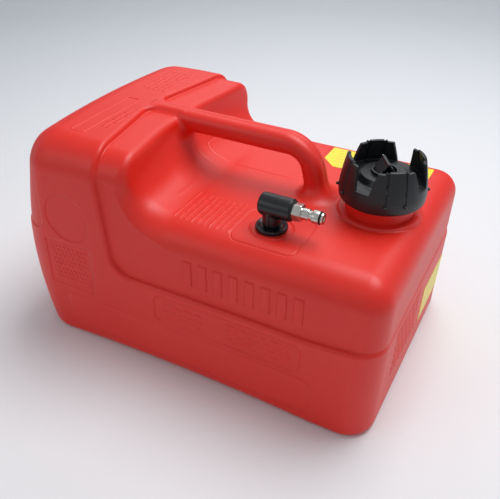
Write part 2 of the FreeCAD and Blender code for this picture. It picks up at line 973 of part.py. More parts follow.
def seals():
    """The rubber rings and washers, by name."""
    nose_ring_x = (nose_end_x + nose_tip_groove_end_x) / 2
    poppet_ring_x = poppet_head_start_x + 1.5 * poppet_ring_groove
    elbow_ring_z = (ring_groove_low_z + ring_groove_high_z) / 2
    along = FreeCAD.Vector(1, 0, 0)
    return {
        "cap_gasket": tube(gasket_outer, gasket_inner, neck_top_z, cap_under_z, neck),
        "vent_seal": tube(
            vent_seal_radius, vent_bore + 0.02, bowl_floor_z, bowl_floor_z + vent_seal_thickness, neck),
        "bushing_gasket": tube(flange_radius - 0.5, shank_radius + 0.15, deck_height, flange_low_z, outlet),
        "elbow_o_ring": ring_seal(
            ring_groove_radius + ring_wire + 0.02, ring_wire, outlet + up * elbow_ring_z),
        "connector_washer": tube(
            washer_radius, socket_radius + 0.1, barrel_right_x, barrel_right_x + washer_thickness,
            connector_line, "x"),
        "nose_o_ring": ring_seal(nose_ring_radius, nose_ring_wire, connector_line + along * nose_ring_x, "x"),
        "poppet_o_ring": ring_seal(
            poppet_ring_radius, poppet_ring_wire, connector_line + along * poppet_ring_x, "x"),
    }


def all_pieces():
    pieces = {
        "tank_body": tank_body(),
        "filler_cap": filler_cap(),
        "cap_liner": cap_liner(),
        "vent_screw": vent_screw(),
        "vent_clip": tube(
            vent_clip_radius, vent_tip_radius + 0.03,
            vent_clip_top_z - vent_clip_thickness, vent_clip_top_z, neck),
        "outlet_bushing": outlet_bushing(),
        "elbow": elbow(),
        "connector_plug": connector_plug(),
        "check_poppet": check_poppet(),
        "poppet_spring": poppet_spring(),
        "spring_seat": spring_seat(),
        "pickup_tube": tube(pickup_radius, pickup_bore, pickup_low_z, pickup_high_z, outlet),
        "strainer_cage": strainer_cage(),
        "strainer_screen": strainer_screen(),
        "top_label": top_label(),
        "end_label": end_label(),
    }
    pieces.update(seals())
    return pieces


os.makedirs("parts", exist_ok=True)
for name, shape in all_pieces().items():
    shape.exportStep("parts/" + name + ".step")
    low = shape.BoundBox
    print("%-16s %s solids %d valid %s volume %.1f x %.1f..%.1f y %.1f..%.1f z %.1f..%.1f" % (
        name, shape.ShapeType, len(shape.Solids), shape.isValid(), shape.Volume,
        low.XMin, low.XMax, low.YMin, low.YMax, low.ZMin, low.ZMax))
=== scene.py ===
import math

import bmesh
import bpy
import numpy as np
from mathutils import Matrix, Vector


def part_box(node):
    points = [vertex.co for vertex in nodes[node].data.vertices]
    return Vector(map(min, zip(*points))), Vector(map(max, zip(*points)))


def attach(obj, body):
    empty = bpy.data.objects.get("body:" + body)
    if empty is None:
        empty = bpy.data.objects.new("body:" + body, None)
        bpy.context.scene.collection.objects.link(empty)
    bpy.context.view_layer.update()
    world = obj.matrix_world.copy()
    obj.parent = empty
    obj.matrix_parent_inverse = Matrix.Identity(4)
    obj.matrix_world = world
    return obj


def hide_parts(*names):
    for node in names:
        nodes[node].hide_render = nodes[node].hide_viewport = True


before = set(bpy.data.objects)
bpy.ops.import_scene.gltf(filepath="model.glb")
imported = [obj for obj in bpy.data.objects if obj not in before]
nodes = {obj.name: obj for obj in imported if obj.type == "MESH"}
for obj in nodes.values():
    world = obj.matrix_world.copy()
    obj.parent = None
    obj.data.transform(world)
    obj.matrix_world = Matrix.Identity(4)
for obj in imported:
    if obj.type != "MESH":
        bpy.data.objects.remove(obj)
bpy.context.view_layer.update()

# An outboard fuel tank. Shapes are worked out in millimetres and put into metres as meshes.
mm = 0.001


def nodeBox(name):  # lowest and highest corner of a CAD node, in millimetres
    low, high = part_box(name)
    return np.array(low) / mm, np.array(high) / mm


# Camera: where the photograph was taken from, in millimetres, and the way it looks, in degrees
camera = dict(x=251.607, y=-500.663, z=463.290, azimuth=27.011, elevation=34.572, roll=0.898,
              lens=46.94, sensor=36.0)


def makeCamera(c):
    az, el, roll = (math.radians(c[k]) for k in ("azimuth", "elevation", "roll"))
    back = Vector((math.sin(az) * math.cos(el), -math.cos(az) * math.cos(el), math.sin(el)))
    level = Vector((math.cos(az), math.sin(az), 0))
    rise = back.cross(level)
    right = level * math.cos(roll) + rise * math.sin(roll)
    up = rise * math.cos(roll) - level * math.sin(roll)
    data = bpy.data.cameras.new("camera")
    data.lens, data.sensor_width = c["lens"], c["sensor"]
    eye = bpy.data.objects.new("camera", data)
    bpy.context.scene.collection.objects.link(eye)
    place = Vector((c["x"], c["y"], c["z"])) * mm
    eye.matrix_world = Matrix.Translation(place) @ Matrix((right, up, back)).transposed().to_4x4()
    bpy.context.scene.camera = eye


makeCamera(camera)
bpy.context.scene.view_settings.view_transform = "Standard"
print("camera placed")


# Fields. Each is a distance in millimetres, negative inside the shape.
def both(a, b, radius):  # inside a and b, with the edge where they meet rounded
    corner = np.hypot(np.maximum(radius + a, 0), np.maximum(radius + b, 0))
    return np.minimum(-radius, np.maximum(a, b)) + corner


def either(a, b, radius):  # inside a or b, with the corner between them filled to radius
    corner = np.hypot(np.maximum(radius - a, 0), np.maximum(radius - b, 0))
    return np.maximum(radius, np.minimum(a, b)) - corner


def press(skin, window, depth, width):  # inside window the skin goes in by depth, over an edge of that width
    return skin + depth * ease(0.5 - window / width)


def ease(value):  # 0 to 1 with a soft start and end
    share = np.clip(value, 0, 1)
    return share * share * (3 - 2 * share)


def lineUp(start, end, value):  # how far value is from start to end, 0 to 1
    return np.clip((value - start) / (end - start), 0, 1)


# Surfaces from fields
def gridLine(low, high, coarse, fine, zones):
    # grid places along one axis: steps of coarse, falling to fine inside the zones
    along = np.linspace(low, high, 4000)
    step = np.full(along.shape, coarse)
    for start, end in zones:
        away = np.maximum(np.maximum(start - along, along - end), 0)
        step = np.minimum(step, fine + 0.35 * away)
    count = np.concatenate([[0], np.cumsum(np.diff(along) / step[1:])])
    places = np.linspace(0, count[-1], int(count[-1]) + 1)
    return np.interp(places, count, along)


def levelSurface(field, xs, ys, zs):
    # Surface nets: each grid cell that the surface passes through gets a point at the mean of its
    # edge crossings, and each grid edge that crosses the surface gets a quad of the four cells round it.
    value = field(xs[:, None, None], ys[None, :, None], zs[None, None, :])
    value = np.broadcast_to(value, (len(xs), len(ys), len(zs)))
    inside = value < 0
    shape = [n - 1 for n in value.shape]

    def corner(array, i, j, k):
        return array[i:i + shape[0], j:j + shape[1], k:k + shape[2]]

    offsets = [(i, j, k) for i in (0, 1) for j in (0, 1) for k in (0, 1)]
    counted = sum(corner(inside, *o).astype(np.int8) for o in offsets)
    mixed = (counted > 0) & (counted < 8)
    number = np.full(mixed.shape, -1)
    number[mixed] = np.arange(np.count_nonzero(mixed))
    cell = np.argwhere(mixed)
    lines = (xs, ys, zs)
    total = np.zeros((len(cell), 3))
    hits = np.zeros(len(cell))
    for axis in range(3):
        for o in offsets:
            if o[axis]:
                continue
            far = list(o)
            far[axis] = 1
            a = corner(value, *o)[mixed]
            b = corner(value, *far)[mixed]
            crossed = (a < 0) != (b < 0)
            share = np.where(crossed, a / np.where(crossed, a - b, 1), 0)
            for other in range(3):
                start = lines[other][cell[:, other] + o[other]]
                if other == axis:
                    start = start + share * (lines[other][cell[:, other] + 1] - start)
                total[:, other] += np.where(crossed, start, 0)
            hits += crossed
    quads = []
    for axis in range(3):
        one, two = (axis + 1) % 3, (axis + 2) % 3
        first = [slice(1, -1)] * 3
        second = [slice(1, -1)] * 3
        first[axis], second[axis] = slice(0, -1), slice(1, None)
        here, there = inside[tuple(first)], inside[tuple(second)]
        place = np.argwhere(here != there)
        outward = here[tuple(place.T)]
        base = place.copy()
        base[:, one] += 1
        base[:, two] += 1
        corners = []
        for a, b in ((1, 1), (0, 1), (0, 0), (1, 0)):
            at = base.copy()
            at[:, one] -= a
            at[:, two] -= b
            corners.append(number[tuple(at.T)])
        quad = np.stack(corners, 1)
        quads.append(np.where(outward[:, None], quad, quad[:, ::-1]))
    return total / hits[:, None], np.concatenate(quads)


def slopeOf(field, points, step):  # the field's gradient by central differences
    sides = []
    for axis in range(3):
        shift = np.zeros(3)
        shift[axis] = step
        sides.append((field(*(points + shift).T) - field(*(points - shift).T)) / (2 * step))
    return np.stack(sides, 1)


def settle(field, points, rounds=5, reach=3.0):  # moves points onto the surface, along the gradient
    for _ in range(rounds):
        slope = slopeOf(field, points, 0.05)
        move = field(*points.T) / np.maximum((slope ** 2).sum(1), 0.2)
        points = points - np.clip(move, -reach, reach)[:, None] * slope
    return points


def readPoints(mesh):
    points = np.empty(len(mesh.vertices) * 3)
    mesh.vertices.foreach_get("co", points)
    return points.reshape(-1, 3)


def relax(field, mesh, rounds):
    # evens out the quads: each point moves towards the mean of its neighbours, then back to the surface
    points = readPoints(mesh)
    edges = np.empty(len(mesh.edges) * 2, int)
    mesh.edges.foreach_get("vertices", edges)
    edges = edges.reshape(-1, 2)
    count = np.bincount(edges.ravel(), minlength=len(points))[:, None]
    for _ in range(rounds):
        mean = np.zeros_like(points)
        for axis in range(3):
            mean[:, axis] += np.bincount(edges[:, 0], points[edges[:, 1], axis], len(points))
            mean[:, axis] += np.bincount(edges[:, 1], points[edges[:, 0], axis], len(points))
        move = mean / count - points
        slope = slopeOf(field, points, 0.1)
        slope /= np.linalg.norm(slope, axis=1)[:, None] + 1e-9
        move -= (move * slope).sum(1)[:, None] * slope
        points = settle(field, points + 0.5 * move, 2, 1.0)
    mesh.vertices.foreach_set("co", points.ravel())


def meshFrom(name, points, faces):  # faces is an array with one row of corners a face
    mesh = bpy.data.meshes.new(name)
    mesh.vertices.add(len(points))
    mesh.vertices.foreach_set("co", np.asarray(points, float).ravel())
    mesh.loops.add(faces.size)
    mesh.loops.foreach_set("vertex_index", faces.ravel().astype(np.int32))
    mesh.polygons.add(len(faces))
    mesh.polygons.foreach_set("loop_start", np.arange(0, faces.size, faces.shape[1], dtype=np.int32))
    mesh.update(calc_edges=True)
    return mesh


def refine(field, mesh, levels, tolerance, fineness):
    # splits each face whose edges stray from the surface by more than tolerance, or are longer
    # than fineness asks for there, and puts the new points onto the surface
    for _ in range(levels):
        points = readPoints(mesh)
        edges = np.empty(len(mesh.edges) * 2, int)
        mesh.edges.foreach_get("vertices", edges)
        ends = points[edges.reshape(-1, 2)]
        middle = ends.mean(1)
        length = np.linalg.norm(ends[:, 0] - ends[:, 1], axis=1)
        wanted = fineness(*middle.T) if fineness else np.full(len(middle), 99.0)
        split = (np.abs(field(*middle.T)) > tolerance) | (length > 1.5 * wanted)
        split &= length > 0.5
        if not split.any():
            break
        loopEdge = np.empty(len(mesh.loops), np.int32)
        mesh.loops.foreach_get("edge_index", loopEdge)
        corners = np.empty(len(mesh.polygons), np.int32)
        mesh.polygons.foreach_get("loop_total", corners)
        faceOf = np.repeat(np.arange(len(corners)), corners)
        marked = np.bincount(faceOf, split[loopEdge], len(corners)) > 0
        work = bmesh.new()
        work.from_mesh(mesh)
        work.edges.ensure_lookup_table()
        chosen = [work.edges[index] for index in np.unique(loopEdge[marked[faceOf]])]
        bmesh.ops.subdivide_edges(work, edges=chosen, cuts=1, use_grid_fill=True)
        work.to_mesh(mesh)
        work.free()
        mesh.vertices.foreach_set("co", settle(field, readPoints(mesh), 3, 1.0).ravel())
    return mesh


def solidFrom(name, field, lines, levels, tolerance, fineness=None, evening=4):
    points, quads = levelSurface(field, *lines)
    mesh = meshFrom(name, settle(field, points), quads)
    relax(field, mesh, evening)
    return refine(field, mesh, levels, tolerance, fineness)


def shadeByField(mesh, field, step):  # smooth normals taken from the field itself
    slope = slopeOf(field, readPoints(mesh), step)
    slope /= np.linalg.norm(slope, axis=1)[:, None] + 1e-9
    mesh.polygons.foreach_set("use_smooth", np.ones(len(mesh.polygons), bool))
    mesh.normals_split_custom_set_from_vertices(slope.tolist())


def toMetres(mesh):
    mesh.vertices.foreach_set("co", (readPoints(mesh) * mm).ravel())
    mesh.update()


def smallSolid(name, field, lines, levels, tolerance, step):  # a piece's mesh from its field, in metres
    mesh = solidFrom(name, field, lines, levels, tolerance, None, 3)
    shadeByField(mesh, field, step)
    toMetres(mesh)
    return mesh


def makePiece(name, mesh, body, material, replaced=()):
    piece = bpy.data.objects.new(name, mesh)
    bpy.context.scene.collection.objects.link(piece)
    mesh.materials.clear()
    mesh.materials.append(material)
    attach(piece, body)
    if replaced:
        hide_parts(*replaced)
    print("made", name, len(mesh.polygons), "faces")
    return piece


# Profiles turned about an axis
def roundProfile(corners, steps=5):
    # corners (radius, height, rounding) become points, each corner an arc of that rounding
    corners = np.array(corners, float)
    rows = []
    for index in range(len(corners)):
        corner, rounding = corners[index, :2], corners[index, 2]
        if rounding == 0:
            rows.append(corner[None])
            continue
        back = corners[index - 1, :2] - corner
        ahead = corners[(index + 1) % len(corners), :2] - corner
        back /= np.linalg.norm(back)
        ahead /= np.linalg.norm(ahead)
        half = 0.5 * math.acos(np.clip(back @ ahead, -1, 1))
        centre = corner + (back + ahead) / np.linalg.norm(back + ahead) * rounding / math.sin(half)
        start = corner + back * rounding / math.tan(half) - centre
        end = corner + ahead * rounding / math.tan(half) - centre
        share = np.linspace(0, 1, steps)[:, None]
        arc = start * (1 - share) + end * share
        rows.append(centre + arc / np.linalg.norm(arc, axis=1)[:, None] * rounding)
    return np.concatenate(rows)


def ringFaces(rows, columns):  # the quads of a grid that is closed along both of its ways
    row, column = np.meshgrid(np.arange(rows), np.arange(columns), indexing="ij")
    nextRow, nextColumn = (row + 1) % rows, (column + 1) % columns
    corners = [(row, column), (nextRow, column), (nextRow, nextColumn), (row, nextColumn)]
    return np.stack([a * columns + b for a, b in corners], 2).reshape(-1, 4)


def finishMesh(mesh, sharp, merge=False):  # faces outwards, smooth up to the sharp angle, and in metres
    work = bmesh.new()
    work.from_mesh(mesh)
    if merge:
        bmesh.ops.remove_doubles(work, verts=work.verts, dist=1e-4)
        bmesh.ops.dissolve_degenerate(work, edges=work.edges, dist=1e-5)
    bmesh.ops.recalc_face_normals(work, faces=work.faces)
    work.to_mesh(mesh)
    work.free()
    mesh.polygons.foreach_set("use_smooth", np.ones(len(mesh.polygons), bool))
    mesh.set_sharp_from_angle(angle=math.radians(sharp))
    toMetres(mesh)
    return mesh


def turned(name, profile, centre, axis, segments, sharp=32):
    # the closed profile carried round the axis: angle along one way of the grid, profile along the other
    angle = np.linspace(0, 2 * math.pi, segments, endpoint=False)[:, None]
    radius, along = profile[None, :, 0], profile[None, :, 1]
    across = (radius * np.cos(angle), radius * np.sin(angle), along + 0 * angle)
    order = (2, 0, 1) if axis == "x" else (0, 1, 2)
    points = np.stack([across[k] for k in order], 2) + np.array(centre)
    mesh = meshFrom(name, points.reshape(-1, 3), ringFaces(segments, profile.shape[0]))
    return finishMesh(mesh, sharp, True)


# Materials
def linear(hexColour):  # an sRGB colour as Blender's linear values
    parts = [int(hexColour[i:i + 2], 16) / 255 for i in (1, 3, 5)]
    return [p / 12.92 if p <= 0.04045 else ((p + 0.055) / 1.055) ** 2.4 for p in parts] + [1.0]


def addNode(tree, kind, settings=None, **inputs):
    # a node with its settings; an input is a value, or (node, "Output") to link; _ stands for a space
    node = tree.nodes.new(kind)
    for key, value in (settings or {}).items():
        setattr(node, key, value)
    for key, value in inputs.items():
        socket = node.inputs[int(key[1:])] if key[1:].isdigit() else node.inputs[key.replace("_", " ")]
        if isinstance(value, tuple) and hasattr(value[0], "outputs"):
            tree.links.new(value[0].outputs[value[1]], socket)
        else:
            socket.default_value = value
    return node


def newMaterial(name):
    material = bpy.data.materials.new(name)
    material.use_nodes = True
    tree = material.node_tree
    tree.nodes.clear()
    return material, tree


def finishMaterial(tree, shader):
    out = addNode(tree, "ShaderNodeOutputMaterial")
    tree.links.new(shader.outputs[0], out.inputs["Surface"])


def perMetre(millimetres):  # a noise or Voronoi scale whose cells are that wide
    return 1000.0 / millimetres


def ramp(tree, source, output, low, high, toLow, toHigh):  # maps one range onto another
    return addNode(tree, "ShaderNodeMapRange", None, Value=(source, output), From_Min=low, From_Max=high,
                   To_Min=toLow, To_Max=toHigh)


def mouldedPlastic(name, colour, shade, roughness, grain, grainDepth, waveDepth, translucent=0.0):
    # moulded plastic: one colour with a slow drift, a fine grain from the mould, and soft sink waves
    material, tree = newMaterial(name)
    place = addNode(tree, "ShaderNodeTexCoord")
    where = (place, "Object")
    drift = addNode(tree, "ShaderNodeTexNoise", None, Vector=where, Scale=perMetre(70.0), Detail=3.0)
    mix = addNode(tree, "ShaderNodeMix", {"data_type": "RGBA"}, Factor=(drift, "Fac"), i6=linear(colour),
                  i7=linear(shade))
    fine = addNode(tree, "ShaderNodeTexNoise", None, Vector=where, Scale=perMetre(grain), Detail=2.0)
    wave = addNode(tree, "ShaderNodeTexNoise", None, Vector=where, Scale=perMetre(28.0), Detail=1.0)
    rough = ramp(tree, fine, "Fac", 0.3, 0.7, roughness - 0.04, roughness + 0.05)
    waves = addNode(tree, "ShaderNodeBump", None, Height=(wave, "Fac"), Distance=waveDepth * mm, Strength=1.0)
    bump = addNode(tree, "ShaderNodeBump", None, Height=(fine, "Fac"), Distance=grainDepth * mm, Strength=1.0,
                   Normal=(waves, "Normal"))
    shader = addNode(tree, "ShaderNodeBsdfPrincipled", None, Base_Color=(mix, 2), Roughness=(rough, "Result"),
                     IOR=1.5, Normal=(bump, "Normal"))
    if translucent:
        shader.inputs["Subsurface Weight"].default_value = translucent
        shader.inputs["Subsurface Radius"].default_value = (1.0, 0.15, 0.08)
        shader.inputs["Subsurface Scale"].default_value = 0.004
    finishMaterial(tree, shader)
    return material


def platedMetal(name, colour, roughness, grain, grainDepth):
    # plated or turned metal: small scratches and faint turning lines break up its reflections
    material, tree = newMaterial(name)
    place = addNode(tree, "ShaderNodeTexCoord")
    where = (place, "Object")
    fine = addNode(tree, "ShaderNodeTexNoise", None, Vector=where, Scale=perMetre(grain), Detail=3.0)
    stain = addNode(tree, "ShaderNodeTexNoise", None, Vector=where, Scale=perMetre(6.0), Detail=2.0)
    rough = ramp(tree, stain, "Fac", 0.3, 0.7, roughness * 0.75, roughness * 1.3)
    bump = addNode(tree, "ShaderNodeBump", None, Height=(fine, "Fac"), Distance=grainDepth * mm, Strength=1.0)
    shader = addNode(tree, "ShaderNodeBsdfPrincipled", None, Base_Color=linear(colour), Metallic=1.0,
                     Roughness=(rough, "Result"), Normal=(bump, "Normal"))
    finishMaterial(tree, shader)
    return material


# blow-moulded polyethylene: satin, a little waxy, with the mould's fine blasted grain
redPolyethylene = mouldedPlastic("redPolyethylene", "#E4291A", "#DE2216", 0.43, 0.9, 0.012, 0.10, 0.10)
# injection-moulded nylon: harder and a little glossier, near black
blackNylon = mouldedPlastic("blackNylon", "#17191B", "#1C1E21", 0.38, 0.7, 0.012, 0.03)
# acetal flange and elbow: smooth mould, so tighter highlights
blackAcetal = mouldedPlastic("blackAcetal", "#121416", "#181B1E", 0.27, 0.8, 0.006, 0.02)
# nitrile rubber: matt and charcoal
nitrileRubber = mouldedPlastic("nitrileRubber", "#131313", "#1A1A1A", 0.62, 0.5, 0.010, 0.02)
# grey polyethylene of the inner cup, and the uncoloured polyethylene of the pickup
greyPolyethylene = mouldedPlastic("greyPolyethylene", "#4A4C50", "#424448", 0.5, 0.9, 0.010, 0.03)
naturalPolyethylene = mouldedPlastic("naturalPolyethylene", "#DDD8CA", "#E6E2D6", 0.48, 0.9, 0.010, 0.03)
# satin nickel plate on brass, drawn stainless wire, and turned brass
nickelPlate = platedMetal("nickelPlate", "#CFCCC4", 0.24, 0.5, 0.006)
stainlessWire = platedMetal("stainlessWire", "#B9BBBD", 0.28, 0.4, 0.004)
turnedBrass = platedMetal("turnedBrass", "#C9A961", 0.26, 0.5, 0.005)
print("materials made")


# Tank. The outer form is one field: a proud outer layer, the deck, band and ramp set in from it, the handle.
tankLow, tankHigh = nodeBox("tank_body")
tank = dict(
    right=tankHigh[0], halfWidth=122.5, tallHeight=217.8, topLimit=tankHigh[2] - 0.5, wall=3.0,
    left=tankLow[0] - 3.2, bellyHeight=89.0, bellyCurve=16.8, leftBow=10.3, leftTop=7.0, rightLean=1.5,
    leftCorner=34.0, rightCorner=27.0, sideBow=1.3, bowMiddle=-20.0, bowReach=140.0, footRadius=12.5,
    footEnd=7.0, tallEdge=29.0, leftEdge=33.7, leftEdgeX=(-120.0, -165.0),
    shoulder=96.0, shoulderRise=3.5, riseStart=105.0, riseLength=65.0, shoulderCurve=22.0,
    step=4.5, endStep=1.2, stepEdge=4.0, stepFoot=1.3, innerLeft=-130.0, innerLow=60.0,
    sideLine=-88.0, sideLean=6.0, leanZ=(120.0, 185.0), rootLine=-110.0, rootSide=(20.0, 108.0), rootCurve=12.0,
    deckHeight=162.3, deckEdge=21.0, deckEdgeFront=5.0, deckEdgeY=(40.0, -100.0),
    bandHeight=213.0, bandX=-67.0, bandSet=9.0, bandSide=110.0, bandLean=0.085, bandRoll=25.0,
    bandTopEdge=6.5, bandFrontEdge=15.0, bandEdgeZ=(205.0, 180.0), bandFoot=16.0,
    rampX=-47.0, rampTopX=-68.0, rampTop=180.0, rampLimit=200.0, rampRoll=26.0, rampSoft=12.0,
)
grip = dict(
    half=11.5, depth=20.0, corner=8.5, top=tank["tallHeight"] - 0.05, low=140.0, legX=59.5, legZ=191.0,
    legLean=14.2, outerBend=30.0, innerBend=10.0, topBlend=3.0, rootBlend=14.0, blendZ=(196.0, 210.0),
    blendX=(-20.0, -60.0), startX=-112.0, hidden=3.5, stripLow=203.0, stripEnd=-72.0,
)
recess = dict(
    endX=-163.5, endLow=121.0, endCorner=12.0, endDepth=1.3, endSoft=2.4, endFade=190.0, fadeLength=22.0,
    panelLeft=-141.0, panelRight=119.0, panelLow=16.0, panelHigh=53.0, panelSlant=-5.0, panelCorner=9.0,
    panelRise=1.2, discX=-132.5, discZ=141.7, discRadius=24.7, discDepth=0.8,
    gridLeft=-163.0, gridRight=-111.0, gridLow=61.0, gridHigh=114.0, gridCorner=2.0, gridDepth=0.8,
    bandLeft=-41.0, bandRight=108.0, bandLow=57.0, bandHigh=87.0, bandCorner=8.0, bandDepth=1.1,
)
# Rows of plain raised marks, with no meaning. A block lies across u and up v of its face.
markBlocks = [
    dict(face="front", u=(-12.5, 110.0), v=(104.0, 138.0), pitch=34.0, long=8.4, gap=6.9, fill=0.76, rise=1.2),
    dict(face="front", u=(-157.0, -117.0), v=(67.0, 109.0), pitch=5.25, long=2.6, gap=2.4, fill=0.45, rise=0.6),
    dict(face="front", u=(-33.0, 9.0), v=(61.0, 83.0), pitch=7.3, long=8.0, gap=2.4, fill=0.42, rise=0.6),
    dict(face="front", u=(36.0, 99.0), v=(60.5, 84.5), pitch=6.0, long=8.0, gap=2.4, fill=0.4, rise=0.5),
    dict(face="deck", u=(-68.0, -26.0), v=(-46.0, -40.0), pitch=6.0, long=42.0, gap=2.0, fill=0.5, rise=0.3),
    dict(face="deck", u=(-98.0, -50.0), v=(-33.0, 27.0), pitch=6.0, long=14.0, gap=3.0, fill=0.3, rise=0.3),
    dict(face="top", u=(-74.0, -26.0), v=(-122.0, -110.0), pitch=6.0, long=14.0, gap=3.0, fill=0.35, rise=0.4),
    dict(face="top", u=(26.0, 82.0), v=(-146.0, -116.0), pitch=6.0, long=14.0, gap=3.0, fill=0.35, rise=0.4),
    dict(face="end", u=(-70.0, 6.0), v=(36.0, 92.0), pitch=8.0, long=9.0, gap=3.0, fill=0.4, rise=0.6),
]
rowShift = 0.37  # each row of marks begins this share of a mark's step further on
markFaces = dict(front=(0, 2), deck=(1, 0), top=(1, 0), end=(1, 2))  # the axes that u and v run along
markFrame = dict(left=-90.5, right=-3.5, low=-140.5, high=-126.5, corner=1.5, half=0.6, rise=0.5)
outlet = dict(x=54.5, y=-74.0, ringRadius=18.6, ringHalf=0.8, ringDepth=0.9)
deckLine = dict(half=0.55, depth=0.45, corner=8.0)
deckFrames = [(27.0, 88.0, -103.0, -49.0), (-64.0, 41.0, 15.0, 104.0)]  # left, right, front, back
neck = dict(x=126.0, ringRadius=37.0, ringTop=164.6, ringEdge=1.4, ringFoot=2.5, bore=26.5, radius=31.0,
            foot=161.0, top=188.5, lip=0.9, threadRadius=32.8, pitch=4.0, threadLow=171.5, threadHigh=185.0,
            cut=29.0)


def roundedWindow(a, b, lowA, highA, lowB, highB, corner):
    return both(np.maximum(lowA - a, a - highA), np.maximum(lowB - b, b - highB), corner)


def gripField(x, side, z):
    g = grip
    lean = math.radians(g["legLean"])
    leg = (x - g["legX"]) * math.cos(lean) + (z - g["legZ"]) * math.sin(lean)
    outer = both(z - g["top"], leg - g["depth"] / 2, g["outerBend"])
    gap = both(z - g["top"] + g["depth"], leg + g["depth"] / 2, g["innerBend"])
    flat = np.maximum(np.maximum(outer, -gap), np.maximum(g["startX"] - x, g["low"] - z))
    return both(flat, side - g["half"], g["corner"])


def deckLines(x, y, z):  # distance from the thin outlines on the deck
    near = np.full(np.broadcast(x, y, z).shape, 99.0)
    for left, right, front, back in deckFrames:
        near = np.minimum(near, np.abs(roundedWindow(x, y, left, right, front, back, deckLine["corner"])))
    return near


def outletRing(x, y):
    return np.abs(np.hypot(x - outlet["x"], y - outlet["y"]) - outlet["ringRadius"])


def markReach(x, y, z, face):  # negative where the skin belongs to that face
    if face == "front":
        return 100 + y
    if face == "deck":
        return np.maximum(158 - z, np.maximum(z - 168, -55 - x))
    return 212 - z if face == "top" else 165 - x


def markField(x, y, z, block):  # distance from the nearest mark of a block, each row begun a bit further on
    u, v = ((x, y, z)[axis] for axis in markFaces[block["face"]])
    (left, right), (low, high) = block["u"], block["v"]
    step = block["long"] + block["gap"]
    row = np.floor((v - low) / block["pitch"])
    up = v - low - (row + 0.5) * block["pitch"]
    along = (u - left + rowShift * step * row) % step - step / 2
    mark = np.maximum(np.abs(along) - block["long"] / 2, np.abs(up) - block["pitch"] * block["fill"] / 2)
    edge = np.maximum(np.maximum(left - u, u - right), np.maximum(low - v, v - high))
    return np.maximum(np.maximum(mark, edge), markReach(x, y, z, block["face"]))


def frameField(x, y, z):  # distance from the plain raised frame on the tall top
    m = markFrame
    outline = roundedWindow(y, x, m["left"], m["right"], m["low"], m["high"], m["corner"])
    return np.maximum(np.abs(outline) - m["half"], 212 - z)


def tankBody(x, side, z):  # the outer layer before the shoulder is cut, and its left end
    t = tank
    belly = t["bellyCurve"] * ((z - t["bellyHeight"]) / 100) ** 2
    belly = belly - t["leftTop"] * np.maximum((z - 150) / 68, 0) ** 2
    leftEnd = t["left"] - x + belly + t["leftBow"] * (side / t["halfWidth"]) ** 2
    rightEnd = x - t["right"] - t["rightLean"] * (z / 80 - 1)
    away = np.clip((x - t["bowMiddle"]) / t["bowReach"], -1, 1) ** 2  # from a long side's middle to its ends
    wide = side - t["halfWidth"] - t["sideBow"] * away
    plan = np.where(x < 0, both(leftEnd, wide, t["leftCorner"]), both(rightEnd, wide, t["rightCorner"]))
    foot = t["footRadius"] + (t["footEnd"] - t["footRadius"]) * away
    edge = t["tallEdge"] + (t["leftEdge"] - t["tallEdge"]) * lineUp(*t["leftEdgeX"], x)
    return both(both(plan, -z, foot), z - t["tallHeight"], edge), wide, rightEnd


